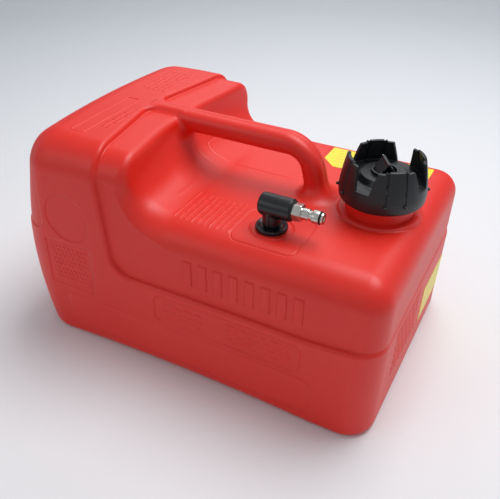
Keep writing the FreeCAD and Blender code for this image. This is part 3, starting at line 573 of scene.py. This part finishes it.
def tankField(x, y, z, fine=True):
    t = tank
    side = np.abs(y)
    body, wide, rightEnd = tankBody(x, side, z)
    r = recess
    window = both(x - r["endX"], r["endLow"] - z, r["endCorner"])
    endDepth = r["endDepth"] * (1 - ease((z - r["endFade"]) / r["fadeLength"]))
    body = press(body, window, endDepth, r["endSoft"])
    # the outer layer's edge: along the shoulder, up the side, and over the top towards the handle
    shoulder = z - t["shoulder"] - t["shoulderRise"] * ease((x - t["riseStart"]) / t["riseLength"])
    sideLine = t["sideLine"] - t["sideLean"] * lineUp(*t["leanZ"], z)
    rootShare = 1 - lineUp(*t["rootSide"], side)
    upright = x - sideLine - (t["rootLine"] - t["sideLine"] + t["sideLean"]) * rootShare
    strip = np.maximum(side - grip["half"] + grip["hidden"], grip["stripLow"] - z)
    strip = np.maximum(strip, x - grip["stripEnd"])
    upright = either(upright, strip, t["rootCurve"])
    layer = both(body, either(shoulder, upright, t["shoulderCurve"]), t["stepEdge"])
    # the parts set in from it
    inset = wide + t["step"]
    keepRight = np.maximum(t["innerLeft"] - x, t["innerLow"] - z)
    deck = both(rightEnd + t["endStep"], inset, t["rightCorner"] - t["step"])
    deckEdge = t["deckEdge"] + t["deckEdgeFront"] * lineUp(*t["deckEdgeY"], y)
    deck = np.maximum(both(deck, z - t["deckHeight"], deckEdge), keepRight)
    bandSet = t["bandSet"] * ease((t["bandSide"] - side) / 90)
    bandX = t["bandX"] + t["bandLean"] * (t["bandHeight"] - z) - bandSet
    bandEdge = t["bandTopEdge"] + (t["bandFrontEdge"] - t["bandTopEdge"]) * lineUp(*t["bandEdgeZ"], z)
    band = both(both(inset, z - t["bandHeight"], t["bandRoll"]), x - bandX, bandEdge)
    band = np.maximum(band, keepRight)
    run, rise = t["rampX"] - t["rampTopX"], t["rampTop"] - t["deckHeight"]
    slope = ((x - t["rampX"]) * rise + (z - t["deckHeight"]) * run) / math.hypot(run, rise)
    foot = np.maximum(np.maximum(both(slope, inset, t["rampRoll"]), z - t["rampLimit"]), keepRight)
    inner = either(either(deck, band, t["bandFoot"]), foot, t["rampSoft"])
    nearTop = lineUp(*grip["blendZ"], z) * lineUp(*grip["blendX"], x)
    blend = grip["rootBlend"] + (grip["topBlend"] - grip["rootBlend"]) * nearTop
    inner = np.maximum(either(inner, gripField(x, side, z), blend), inset)
    skin = np.maximum(either(layer, inner, t["stepFoot"]), z - t["topLimit"])
    if not fine:
        return skin
    ring = both(np.hypot(x - neck["x"], y) - neck["ringRadius"], z - neck["ringTop"], neck["ringEdge"])
    skin = either(skin, np.maximum(ring, 150 - z), neck["ringFoot"])
    slant = r["panelLeft"] + r["panelSlant"] * lineUp(r["panelLow"], r["panelHigh"], z)
    window = roundedWindow(x, z, slant, r["panelRight"], r["panelLow"], r["panelHigh"], r["panelCorner"])
    front = 100 + y
    skin = press(skin, np.maximum(window, 100 - side), -r["panelRise"], 2.2)
    window = np.hypot(x - r["discX"], z - r["discZ"]) - r["discRadius"]
    skin = press(skin, np.maximum(window, front), r["discDepth"], 1.4)
    window = roundedWindow(x, z, r["gridLeft"], r["gridRight"], r["gridLow"], r["gridHigh"], r["gridCorner"])
    skin = press(skin, np.maximum(window, front), r["gridDepth"], 1.4)
    window = roundedWindow(x, z, r["bandLeft"], r["bandRight"], r["bandLow"], r["bandHigh"], r["bandCorner"])
    skin = press(skin, np.maximum(window, front), r["bandDepth"], 1.8)
    for block in markBlocks:
        skin = press(skin, markField(x, y, z, block), -block["rise"], 1.0)
    skin = press(skin, frameField(x, y, z), -markFrame["rise"], 0.8)
    onDeck = 150 - z
    skin = press(skin, np.maximum(outletRing(x, y) - outlet["ringHalf"], onDeck), outlet["ringDepth"], 0.9)
    skin = press(skin, np.maximum(deckLines(x, y, z) - deckLine["half"], onDeck), deckLine["depth"], 0.8)
    seam = np.maximum(np.maximum(side - 0.5, 164 - z), -84 - x)
    return press(skin, seam, 0.4, 0.8)


def tankFineness(x, y, z):  # the edge length that each place needs
    near = np.where(z > 158, np.minimum(deckLines(x, y, z), outletRing(x, y)), 99.0)
    seam = np.where((z > 163) & (x > -86), np.abs(y), 99.0)
    marks = np.abs(frameField(x, y, z))
    for block in markBlocks:
        marks = np.minimum(marks, np.abs(markField(x, y, z, block)))
    return np.where(np.minimum(near, seam) < 1.6, 0.8, np.where(marks < 1.0, 0.7, 99.0))


def tankWall(x, y, z):  # the inside face, a wall's thickness in
    return tankField(x, y, z, False) + tank["wall"]


def cutNeck(mesh, low):  # opens a round hole on the neck's axis, above low
    work = bmesh.new()
    work.from_mesh(mesh)
    centre = neck["x"]
    near = neck["cut"] + 1
    gone = [face for face in work.faces
            if all(v.co.z > low and math.hypot(v.co.x - centre, v.co.y) < near for v in face.verts)]
    bmesh.ops.delete(work, geom=gone, context="FACES")
    for v in work.verts:
        if v.is_boundary:
            reach = math.hypot(v.co.x - centre, v.co.y)
            v.co.x = centre + (v.co.x - centre) * neck["cut"] / reach
            v.co.y *= neck["cut"] / reach
    work.to_mesh(mesh)
    work.free()


def tankShell():
    margin = 6.0
    spanX = (tank["left"] - margin, tank["right"] + margin + 2)
    spanY = (-tank["halfWidth"] - margin, tank["halfWidth"] + margin)
    lines = (
        gridLine(*spanX, 3.6, 1.8, [(-166, -161), (-98, -84), (-70, -60), (44, 62)]),
        gridLine(*spanY, 3.6, 1.7, [(-123, -116), (-13, -10), (10, 13), (116, 123)]),
        gridLine(-margin, tankHigh[2] + margin, 3.6, 1.7, [(92, 100), (116, 122), (209, 219)]),
    )
    outer = solidFrom("tankOuter", tankField, lines, 3, 0.11, tankFineness)
    shadeByField(outer, tankField, 0.25)
    print("tank skin", len(outer.polygons))
    coarse = (gridLine(*spanX, 6.5, 6.5, []), gridLine(*spanY, 6.5, 5.0, [(-12, 12)]),
              gridLine(-margin, tankHigh[2] + margin, 6.5, 5.0, [(195, 220)]))
    innerPoints, innerQuads = levelSurface(tankWall, *coarse)
    inner = meshFrom("tankInner", settle(tankWall, innerPoints), innerQuads[:, ::-1])
    cutNeck(outer, 160)
    cutNeck(inner, 150)
    work = bmesh.new()
    work.from_mesh(outer)
    work.from_mesh(inner)
    rims = [edge for edge in work.edges if edge.is_boundary]
    bmesh.ops.bridge_loops(work, edges=rims)
    bmesh.ops.recalc_face_normals(work, faces=work.faces)
    mesh = bpy.data.meshes.new("tankShell")
    work.to_mesh(mesh)
    work.free()
    points = readPoints(mesh)
    outside = slopeOf(tankField, points, 0.25)
    within = slopeOf(tankWall, points, 0.25)
    isOuter = np.abs(tankField(*points.T)) < np.abs(tankWall(*points.T))
    normals = np.where(isOuter[:, None], outside, -within)
    normals /= np.linalg.norm(normals, axis=1)[:, None] + 1e-9
    mesh.polygons.foreach_set("use_smooth", np.ones(len(mesh.polygons), bool))
    mesh.normals_split_custom_set_from_vertices(normals.tolist())
    toMetres(mesh)
    return mesh


makePiece("tankShell", tankShell(), "tank", redPolyethylene, ["tank_body"])


def neckSurface():
    # closed profile of the neck's wall, with a ridge that climbs one pitch a turn
    n = neck
    profile = roundProfile([
        (n["bore"], n["foot"] - 1.4, 0), (n["radius"], n["foot"], 0), (n["radius"], n["top"], n["lip"]),
        (n["bore"], n["top"], n["lip"])], 6)
    rise = np.linspace(n["foot"], n["top"] - 1.2, 70)
    wall = np.stack([np.full(rise.shape, n["radius"]), rise], 1)
    profile = np.concatenate([profile[:2], wall[1:], profile[2:]])
    segments = 144
    angle = np.linspace(0, 2 * math.pi, segments, endpoint=False)[:, None]
    height = profile[None, :, 1]
    turnShare = angle / (2 * math.pi)
    phase = (height - n["threadLow"]) / n["pitch"] - turnShare
    crest = np.clip(1.6 - 6.0 * np.abs(phase - np.round(phase)), 0, 1)
    turns = (n["threadHigh"] - n["threadLow"]) / n["pitch"]
    count = np.round(phase) + turnShare
    fade = ease(count / 0.12) * ease((turns - count) / 0.12)
    ridge = (n["threadRadius"] - n["radius"]) * crest * fade * (profile[None, :, 0] > n["radius"] - 0.01)
    radius = profile[None, :, 0] + ridge
    points = np.stack([n["x"] + radius * np.cos(angle), radius * np.sin(angle), height + 0 * angle], 2)
    mesh = meshFrom("neckThread", points.reshape(-1, 3), ringFaces(segments, profile.shape[0]))
    return finishMesh(mesh, 40)


makePiece("neckThread", neckSurface(), "tank", redPolyethylene)


# Filler cap: a four-part crown round a boss with a bowl in it, about the neck's axis
cap = dict(
    x=neck["x"], low=177.5, lowRadius=38.2, beltLow=182.5, radius=40.0, beltTop=190.0, top=216.0,
    topRadius=33.3, shoulderDrop=1.7, wall=3.2, ledge=194.7, bossFoot=24.0, bossRadius=20.5, boss=200.0,
    rimRadius=12.0, rim=203.0, bowl=9.9, bowlFloor=197.5, firstAngle=-56.5, slotTop=20.0, slotFoot=12.4,
    slotStart=26.0, grooveAngle=13.0, grooveHalf=0.75, grooveDepth=1.0, nubRadius=1.35, nubHeight=186.4,
    threadBore=33.4, under=191.0, pitch=4.0, ventBore=3.05, ventBoss=7.0, ventBossLow=187.0,
)


def cone(radius, z, radiusLow, low, radiusHigh, high):  # distance outside a cone through two circles
    run, rise = radiusHigh - radiusLow, high - low
    return ((radius - radiusLow) * rise - (z - low) * run) / math.hypot(run, rise)


def capField(x, y, z):
    c = cap
    x = x - c["x"]
    radius = np.hypot(x, y)
    angle = np.degrees(np.arctan2(y, x)) - c["firstAngle"]
    part = (angle + 45) % 90 - 45  # angle from the middle of the nearest crown wall
    middle = np.radians(part)
    across, out = radius * np.sin(middle), radius * np.cos(middle)
    lower = cone(radius, z, c["lowRadius"], c["low"], c["radius"], c["beltLow"])
    upper = cone(radius, z, c["radius"], c["beltTop"], c["topRadius"], c["top"])
    outside = both(both(lower, radius - c["radius"], 4.0), upper, 6.0)
    crownTop = c["top"] - c["shoulderDrop"] * ease((np.abs(part) - 15.5) / 2.5)
    shape = both(both(outside, c["low"] - z, 2.2), z - crownTop, 0.7)
    slope = (c["radius"] - c["topRadius"]) / (c["top"] - c["beltTop"])
    ledgeRadius = c["radius"] - c["wall"] - (c["ledge"] - c["beltTop"]) * slope
    hollow = cone(radius, z, ledgeRadius, c["ledge"], c["topRadius"] - c["wall"], c["top"])
    shape = both(shape, -both(hollow, c["ledge"] - z, 1.0), 0.6)
    boss = both(cone(radius, z, c["bossFoot"], c["ledge"], c["bossRadius"], c["boss"]), z - c["boss"], 0.8)
    shape = either(shape, np.maximum(boss, c["under"] - z), 1.0)
    rim = both(radius - c["rimRadius"], z - c["rim"], 0.6)
    shape = either(shape, np.maximum(rim, c["under"] - z), 0.6)
    shape = both(shape, -both(radius - c["bowl"], c["bowlFloor"] - z, 0.5), 0.5)
    slotTurn = np.radians((angle % 90) - 45)
    slotAcross, slotOut = radius * np.sin(slotTurn), radius * np.cos(slotTurn)
    half = c["slotFoot"] / 2 + (c["slotTop"] - c["slotFoot"]) / 2 * (z - c["ledge"]) / (c["top"] - c["ledge"])
    slot = np.maximum(np.maximum(np.abs(slotAcross) - half, c["ledge"] - z), c["slotStart"] - slotOut)
    shape = both(shape, -slot, 0.6)
    grooveAngle = math.radians(c["grooveAngle"])
    fromGroove = radius * np.sin(np.abs(middle) - grooveAngle)
    groove = np.maximum(np.abs(fromGroove) - c["grooveHalf"], c["nubHeight"] - z)
    shape = press(shape, np.maximum(groove, 30 - radius), c["grooveDepth"], 0.5)
    along = radius * np.cos(np.abs(middle) - grooveAngle) - c["radius"] + 0.5
    nub = np.sqrt((fromGroove / 1.25) ** 2 + along ** 2 + (z - c["nubHeight"]) ** 2) - c["nubRadius"]
    shape = either(shape, nub, 0.3)
    # below: the bore with its thread, and the boss that the vent screw goes through
    turnShare = np.arctan2(y, x) / (2 * math.pi)
    phase = (z - c["low"]) / c["pitch"] - turnShare
    ridge = 0.9 * np.clip(1.3 - 5.0 * np.abs(phase - np.round(phase)), 0, 1)
    below = both(radius - c["threadBore"] + ridge * (z > c["low"] + 2.5), z - c["under"], 0.6)
    below = np.maximum(below, -np.maximum(radius - c["ventBoss"], c["ventBossLow"] - z))
    shape = both(shape, -below, 0.4)
    return np.maximum(shape, c["ventBore"] - radius)


def capSolid():
    margin = 3.0
    reach = cap["radius"] + margin
    lines = (
        gridLine(cap["x"] - reach, cap["x"] + reach, 1.25, 1.25, []),
        gridLine(-reach, reach, 1.25, 1.25, []),
        gridLine(cap["low"] - margin, cap["top"] + margin, 1.25, 0.8, [(193, 204), (213, 217)]),
    )
    return smallSolid("fillerCap", capField, lines, 2, 0.06, 0.12)


makePiece("fillerCap", capSolid(), "cap", blackNylon, ["filler_cap"])


# Vent screw: a round head and a wedge with hollow ends and a bar along its top
vent = dict(
    x=cap["x"], stem=3.0, stemLow=182.8, tip=2.2, tipTop=184.5, head=9.3, headLow=198.7, headTop=200.7,
    wingTop=212.0, wingHalf=10.0, barHalf=1.4, barDepth=1.6, base=8.8, wallThick=2.2, web=2.2, angle=-57.0,
)


def ventField(x, y, z):
    v = vent
    turn = math.radians(v["angle"])
    x = x - v["x"]
    along = x * math.cos(turn) + y * math.sin(turn)
    across = y * math.cos(turn) - x * math.sin(turn)
    radius = np.hypot(x, y)
    head = both(radius - v["head"], np.maximum(v["headLow"] - z, z - v["headTop"]), 0.5)
    barLow = v["wingTop"] - v["barDepth"]
    share = lineUp(v["headTop"], barLow, z)
    run, rise = v["base"] - v["barHalf"], barLow - v["headTop"]
    face = np.abs(across) - v["base"] + run * (z - v["headTop"]) / rise
    face = face * rise / math.hypot(run, rise)
    face = np.maximum(face, z - barLow - 0.6)
    reach = v["head"] - 0.3 + (v["wingHalf"] - v["head"]) * share
    wedge = both(face, np.abs(along) - reach, 0.5)
    pocket = np.maximum(face + v["wallThick"] * 0.75, v["web"] - np.abs(along))
    pocket = np.maximum(pocket, v["headTop"] - z)
    wedge = both(np.maximum(wedge, v["headTop"] - 1 - z), -pocket, 0.35)
    bar = both(np.abs(across) - v["barHalf"], np.maximum(barLow - 0.6 - z, z - v["wingTop"]), 0.5)
    bar = both(bar, np.abs(along) - v["wingHalf"], 0.5)
    stem = radius - np.where(z < v["tipTop"], v["tip"], v["stem"])
    stem = np.maximum(stem, np.maximum(v["stemLow"] - z, z - v["headTop"]))
    return either(either(either(head, wedge, 0.5), bar, 0.4), stem, 0.2)


def ventSolid():
    lines = (
        gridLine(vent["x"] - 12, vent["x"] + 12, 0.6, 0.6, []),
        gridLine(-12, 12, 0.6, 0.6, []),
        gridLine(vent["stemLow"] - 2, vent["wingTop"] + 2, 0.6, 0.6, []),
    )
    return smallSolid("ventScrew", ventField, lines, 1, 0.04, 0.08)


makePiece("ventScrew", ventSolid(), "vent_knob", blackNylon, ["vent_screw"])


# Outlet flange, the elbow on it and its connector
flange = dict(low=163.5, high=166.3, radius=14.1, rim=12.6, dish=9.4, dishHeight=164.8, shank=8.85,
              shankLow=148.0, barb=4.2, barbLow=138.0, bore=5.56, step=152.0, suction=2.6)


def flangeProfile():
    f = flange
    return roundProfile([
        (f["bore"], f["dishHeight"], 0.3), (f["dish"], f["dishHeight"], 1.2), (f["rim"], f["high"], 0.5),
        (f["radius"], f["high"] - 0.2, 1.0), (f["radius"], f["low"], 0.4), (f["shank"], f["low"], 0.2),
        (f["shank"], f["shankLow"], 0.4), (f["barb"], f["shankLow"], 0.2), (f["barb"], f["barbLow"], 0.4),
        (f["suction"], f["barbLow"], 0.2), (f["suction"], f["step"], 0.2), (f["bore"], f["step"], 0.2)], 6)


outletCentre = (outlet["x"], outlet["y"], 0)
flangeMesh = turned("outletFlange", flangeProfile(), outletCentre, "z", 96)
makePiece("outletFlange", flangeMesh, "tank", blackAcetal, ["outlet_bushing"])

barrel = dict(
    z=185.0, radius=9.9, left=43.6, right=73.3, leftEdge=3.4, rightEdge=0.7, collar=8.4, collarLow=167.2,
    stem=5.5, stemLow=152.6, bore=2.6, socket=6.1, socketStart=63.6, ribHalf=1.2, ribOut=9.5, ribLow=168.7,
    ribHigh=181.0, groove=4.2, grooveLow=159.0, grooveHigh=160.6, bead=5.85, beadHeight=155.4, passage=3.0,
)


def elbowField(x, y, z):
    b = barrel
    level = np.hypot(y - outlet["y"], z - b["z"])
    upright = np.hypot(x - outlet["x"], y - outlet["y"])
    tube = both(both(level - b["radius"], b["left"] - x, b["leftEdge"]), x - b["right"], b["rightEdge"])
    collar = both(np.maximum(upright - b["collar"], z - b["z"]), b["collarLow"] - z, 0.6)
    rib = np.maximum(np.abs(x - outlet["x"]) - b["ribHalf"], outlet["y"] - b["ribOut"] - y)
    rib = both(rib, np.maximum(b["ribLow"] - z, z - b["ribHigh"]), 0.8)
    rib = np.maximum(rib, y - outlet["y"])
    stemRadius = np.where((z > b["grooveLow"]) & (z < b["grooveHigh"]), b["groove"], b["stem"])
    stemRadius = stemRadius + (b["bead"] - b["stem"]) * np.clip(1.6 - np.abs(z - b["beadHeight"]) * 2, 0, 1)
    stem = np.maximum(np.maximum(upright - stemRadius, z - b["z"]), b["stemLow"] - z)
    shape = either(either(tube, collar, 1.3), rib, 0.5)
    shape = np.minimum(shape, stem)
    shape = np.maximum(shape, -np.maximum(upright - b["bore"], z - b["z"]))
    socket = np.maximum(level - b["socket"], b["socketStart"] - x)
    passage = np.maximum(level - b["passage"], outlet["x"] - 2 - x)
    return np.maximum(np.maximum(shape, -socket), -passage)


def elbowSolid():
    b = barrel
    lines = (
        gridLine(b["left"] - 2, b["right"] + 2, 0.8, 0.8, []),
        gridLine(outlet["y"] - b["radius"] - 2, outlet["y"] + b["radius"] + 2, 0.8, 0.8, []),
        gridLine(b["stemLow"] - 2, b["z"] + b["radius"] + 2, 0.8, 0.8, []),
    )
    return smallSolid("elbowBody", elbowField, lines, 1, 0.05, 0.1)


makePiece("elbowBody", elbowSolid(), "elbow_swivel", blackAcetal, ["elbow"])

plug = dict(start=63.6, thread=6.05, hexStart=74.2, hexEnd=82.0, hexWidth=14.3, hexTurn=12.0, chamfer=0.9,
            neck=5.1, neckEnd=89.0, groove=4.2, grooveEnd=91.0, nose=5.8, noseEnd=97.6, ringGroove=4.3,
            ringEnd=99.3, tip=5.4, tipEnd=100.9, bore=3.2, mouth=2.0, mouthStart=96.4)
connectorCentre = (0, outlet["y"], barrel["z"])


def plugProfile():
    p = plug
    return roundProfile([
        (p["bore"], p["start"], 0), (p["thread"], p["start"], 0.2), (p["thread"], p["hexStart"] + 1, 0),
        (p["neck"], p["hexStart"] + 1, 0), (p["neck"], p["neckEnd"] - 0.8, 0.4),
        (p["groove"], p["neckEnd"], 0.3), (p["groove"], p["grooveEnd"], 0.3),
        (p["nose"], p["grooveEnd"] + 0.8, 0.5), (p["nose"], p["noseEnd"], 0.4),
        (p["ringGroove"], p["noseEnd"], 0.15), (p["ringGroove"], p["ringEnd"], 0.15),
        (p["tip"], p["ringEnd"], 0.2), (p["tip"] - 0.6, p["tipEnd"], 0.3),
        (p["mouth"], p["tipEnd"], 0.3), (p["mouth"], p["mouthStart"], 0),
        (p["bore"], p["mouthStart"], 0)], 5)


def hexSurface():
    # the hexagon's outline as radius against angle, drawn in towards both ends by the turned chamfer
    p = plug
    turns = 96
    angle = np.linspace(0, 2 * math.pi, turns, endpoint=False) + math.radians(p["hexTurn"])
    fold = (angle - math.radians(p["hexTurn"]) + math.pi / 6) % (math.pi / 3) - math.pi / 6
    flat = p["hexWidth"] / 2 / np.cos(fold)
    corner = p["hexWidth"] / math.sqrt(3) - 0.25
    length = p["hexEnd"] - p["hexStart"]
    share = np.array([0, 0.02, 0.06, 0.12, 0.2, 0.5, 0.8, 0.88, 0.94, 0.98, 1.0])
    along = p["hexStart"] + length * share
    inwards = np.minimum(share, 1 - share) * length
    limit = corner - p["chamfer"] + inwards * 1.7
    radius = np.minimum(np.minimum(flat, corner)[:, None], limit[None, :])
    bore = np.full((turns, 1), p["neck"] - 0.3)
    radius = np.concatenate([bore, radius, bore], 1)
    along = np.concatenate([along[:1], along, along[-1:]])
    points = np.stack([along[None, :] + 0 * radius, outlet["y"] + radius * np.sin(angle)[:, None],
                       barrel["z"] + radius * np.cos(angle)[:, None]], 2)
    mesh = meshFrom("connectorHex", points.reshape(-1, 3), ringFaces(turns, len(along)))
    return finishMesh(mesh, 22)


noseMesh = turned("connectorNose", plugProfile(), connectorCentre, "x", 72)
makePiece("connectorNose", noseMesh, "elbow_swivel", nickelPlate, ["connector_plug"])
makePiece("connectorHex", hexSurface(), "elbow_swivel", nickelPlate, ["connector_plug"])

# CAD nodes that keep their own shape
kept = {
    nitrileRubber: ["cap_gasket", "vent_seal", "bushing_gasket", "elbow_o_ring", "connector_washer",
                    "nose_o_ring", "poppet_o_ring"],
    greyPolyethylene: ["cap_liner"],
    stainlessWire: ["vent_clip", "poppet_spring", "strainer_screen"],
    turnedBrass: ["check_poppet", "spring_seat"],
    naturalPolyethylene: ["pickup_tube", "strainer_cage"],
}
for material, names in kept.items():
    for name in names:
        nodes[name].data.materials.clear()
        nodes[name].data.materials.append(material)
print("kept", sum(len(names) for names in kept.values()), "CAD nodes with new materials")


# Labels: plain film that follows the skin, with ruled lines to write on
label = dict(proud=0.28, gap=0.02, colour="#F4DF2E", ink="#6E6A2A", inkShare=0.55, rule=6.0, ruleWidth=0.7,
             ruleReach=0.42, cutCorner=14.0, endFront=10.0, endTop=14.0)


def labelFilm():
    # glossy printed film: even yellow, thin dark rules, slight orange peel
    material, tree = newMaterial("yellowFilm")
    place = addNode(tree, "ShaderNodeUVMap")
    split = addNode(tree, "ShaderNodeSeparateXYZ", None, Vector=(place, "UV"))
    wave = addNode(tree, "ShaderNodeMath", {"operation": "FRACT"}, i0=(split, "Y"))
    ruleShare = label["ruleWidth"] / label["rule"]
    rule = addNode(tree, "ShaderNodeMath", {"operation": "LESS_THAN"}, i0=(wave, "Value"), i1=ruleShare)
    fromMiddle = addNode(tree, "ShaderNodeMath", {"operation": "SUBTRACT"}, i0=(split, "X"), i1=0.5)
    reach = addNode(tree, "ShaderNodeMath", {"operation": "ABSOLUTE"}, i0=(fromMiddle, "Value"))
    within = addNode(tree, "ShaderNodeMath", {"operation": "LESS_THAN"}, i0=(reach, "Value"),
                     i1=label["ruleReach"])
    multiply = {"operation": "MULTIPLY"}
    ruled = addNode(tree, "ShaderNodeMath", multiply, i0=(rule, "Value"), i1=(within, "Value"))
    soft = addNode(tree, "ShaderNodeMath", multiply, i0=(ruled, "Value"), i1=label["inkShare"])
    mix = addNode(tree, "ShaderNodeMix", {"data_type": "RGBA"}, Factor=(soft, "Value"),
                  i6=linear(label["colour"]), i7=linear(label["ink"]))
    where = addNode(tree, "ShaderNodeTexCoord")
    peel = addNode(tree, "ShaderNodeTexNoise", None, Vector=(where, "Object"), Scale=perMetre(1.5),
                   Detail=2.0)
    bump = addNode(tree, "ShaderNodeBump", None, Height=(peel, "Fac"), Distance=0.006 * mm, Strength=1.0)
    shader = addNode(tree, "ShaderNodeBsdfPrincipled", None, Base_Color=(mix, 2), Roughness=0.33, IOR=1.49,
                     Normal=(bump, "Normal"))
    finishMaterial(tree, shader)
    return material


yellowFilm = labelFilm()


def plainSkin(x, y, z):
    return tankField(x, y, z, False)


def labelSheet(name, start, acrossWay, downWay, width, height, columns, rows, clip):
    # a grid over the label's flat size, moved onto the skin, then closed with a thin edge all round
    u, v = np.meshgrid(np.linspace(0, 1, columns), np.linspace(0, 1, rows), indexing="ij")
    inset = clip * np.maximum(0, 1 - v * height / clip) if clip else 0 * v
    across = inset + u * (width - inset)
    points = np.array(start) + across[..., None] * np.array(acrossWay)
    points = points + (v * height)[..., None] * np.array(downWay)
    points = settle(plainSkin, points.reshape(-1, 3), 8, 6.0)
    out = slopeOf(plainSkin, points, 0.3)
    out /= np.linalg.norm(out, axis=1)[:, None]
    top, under = points + out * label["proud"], points + out * label["gap"]
    index = np.arange(columns * rows).reshape(columns, rows)
    face = np.stack([index[:-1, :-1], index[1:, :-1], index[1:, 1:], index[:-1, 1:]], 2).reshape(-1, 4)
    rim = np.concatenate([index[:, 0], index[-1, 1:], index[-2::-1, -1], index[0, -2:0:-1]])
    total = columns * rows
    edge = np.stack([rim, np.roll(rim, -1), np.roll(rim, -1) + total, rim + total], 1)
    faces = np.concatenate([face, face[:, ::-1] + total, edge[:, ::-1]])
    mesh = meshFrom(name, np.concatenate([top, under]), faces)
    uv = np.concatenate([np.stack([u.ravel(), (v * height / label["rule"]).ravel()], 1)] * 2)
    corner = np.empty(len(mesh.loops), np.int32)
    mesh.loops.foreach_get("vertex_index", corner)
    layer = mesh.uv_layers.new(name="label")
    layer.data.foreach_set("uv", uv[corner].ravel())
    return finishMesh(mesh, 40)


topLow, topHigh = nodeBox("top_label")
topSize = topHigh - topLow
topSheet = labelSheet("topLabel", (topLow[0], topLow[1], 162.0), (1, 0, 0), (0, 1, 0), topSize[0], topSize[1],
                      60, 40, label["cutCorner"])
makePiece("topLabel", topSheet, "tank", yellowFilm, ["top_label"])
endLow, endHigh = nodeBox("end_label")  # the film's front and top edges lie a little inside its solid's
endSize = endHigh - endLow
endStart = (175.0, endLow[1] + label["endFront"], endLow[2])
endSheet = labelSheet("endLabel", endStart, (0, 1, 0), (0, 0, 1), endSize[1] - label["endFront"],
                      endSize[2] - label["endTop"], 60, 40, 0.0)
makePiece("endLabel", endSheet, "tank", yellowFilm, ["end_label"])


# Stage: a pale floor that sweeps up far behind, with painted shade greying it further away, a wide lamp above
# and soft fill
# the far colour is painted shade: the white floor is darkened to a cool grey with distance, standing in for
# light falling off away from the lamps
studio = dict(floor="#E6E6E8", paintedFalloff="#C2C6CB", gradeStart=0.3, gradeEnd=1.3, world="#E9EEF4",
              worldStrength=0.48, keyPower=25.0, keySize=1.3, backPower=6.0, backSize=1.6, fillPower=2.5)


def makeStage():
    s = studio
    material, tree = newMaterial("paleFloor")
    place = addNode(tree, "ShaderNodeTexCoord")
    away = addNode(tree, "ShaderNodeVectorMath", {"operation": "LENGTH"}, i0=(place, "Object"))
    # painted falloff of light: the floor's colour turns from pale to the painted grey with distance from the
    # middle
    grade = ramp(tree, away, "Value", s["gradeStart"], s["gradeEnd"], 0.0, 1.0)
    mix = addNode(tree, "ShaderNodeMix", {"data_type": "RGBA"}, Factor=(grade, "Result"),
                  i6=linear(s["floor"]), i7=linear(s["paintedFalloff"]))
    shader = addNode(tree, "ShaderNodeBsdfPrincipled", None, Base_Color=(mix, 2), Roughness=0.8)
    finishMaterial(tree, shader)
    count = 40  # the floor runs level, then up a quarter round, then straight up
    bend = np.linspace(0, math.pi / 2, count)[1:]
    run = np.concatenate([np.linspace(-3.0, 3.0, count), 3.0 + np.sin(bend), np.full(8, 4.0)])
    rise = np.concatenate([np.zeros(count), 1 - np.cos(bend), np.linspace(1.2, 4, 8)])
    turn = math.radians(camera["azimuth"])
    side = np.linspace(-5, 5, 12)
    ahead = np.array([-math.sin(turn), math.cos(turn)])
    right = np.array([math.cos(turn), math.sin(turn)])
    flat = run[:, None, None] * ahead + side[None, :, None] * right
    points = np.concatenate([flat, np.broadcast_to(rise[:, None, None], flat.shape[:2] + (1,))], 2)
    index = np.arange(len(run) * len(side)).reshape(len(run), len(side))
    faces = np.stack([index[:-1, :-1], index[:-1, 1:], index[1:, 1:], index[1:, :-1]], 2).reshape(-1, 4)
    mesh = meshFrom("floor", points.reshape(-1, 3), faces)
    mesh.polygons.foreach_set("use_smooth", np.ones(len(mesh.polygons), bool))
    mesh.materials.append(material)
    floor = bpy.data.objects.new("floor", mesh)
    bpy.context.scene.collection.objects.link(floor)
    world = bpy.data.worlds.new("studio")
    world.use_nodes = True
    background = world.node_tree.nodes["Background"]
    background.inputs["Color"].default_value = linear(s["world"])
    background.inputs["Strength"].default_value = s["worldStrength"]
    bpy.context.scene.world = world


def addLamp(name, place, aim, power, size):
    data = bpy.data.lights.new(name, "AREA")
    data.energy, data.size, data.shape = power, size, "DISK"
    lamp = bpy.data.objects.new(name, data)
    bpy.context.scene.collection.objects.link(lamp)
    way = Vector(aim) - Vector(place)
    lamp.matrix_world = Matrix.Translation(Vector(place)) @ way.to_track_quat("-Z", "Y").to_matrix().to_4x4()


makeStage()
addLamp("key", (0.35, 0.55, 1.7), (0, 0, 0.1), studio["keyPower"], studio["keySize"])
addLamp("back", (-0.75, 1.65, 1.35), (0, 0, 0.15), studio["backPower"], studio["backSize"])
addLamp("fill", (-0.9, -1.3, 0.9), (0, 0, 0.1), studio["fillPower"], 0.9)
print("stage made")
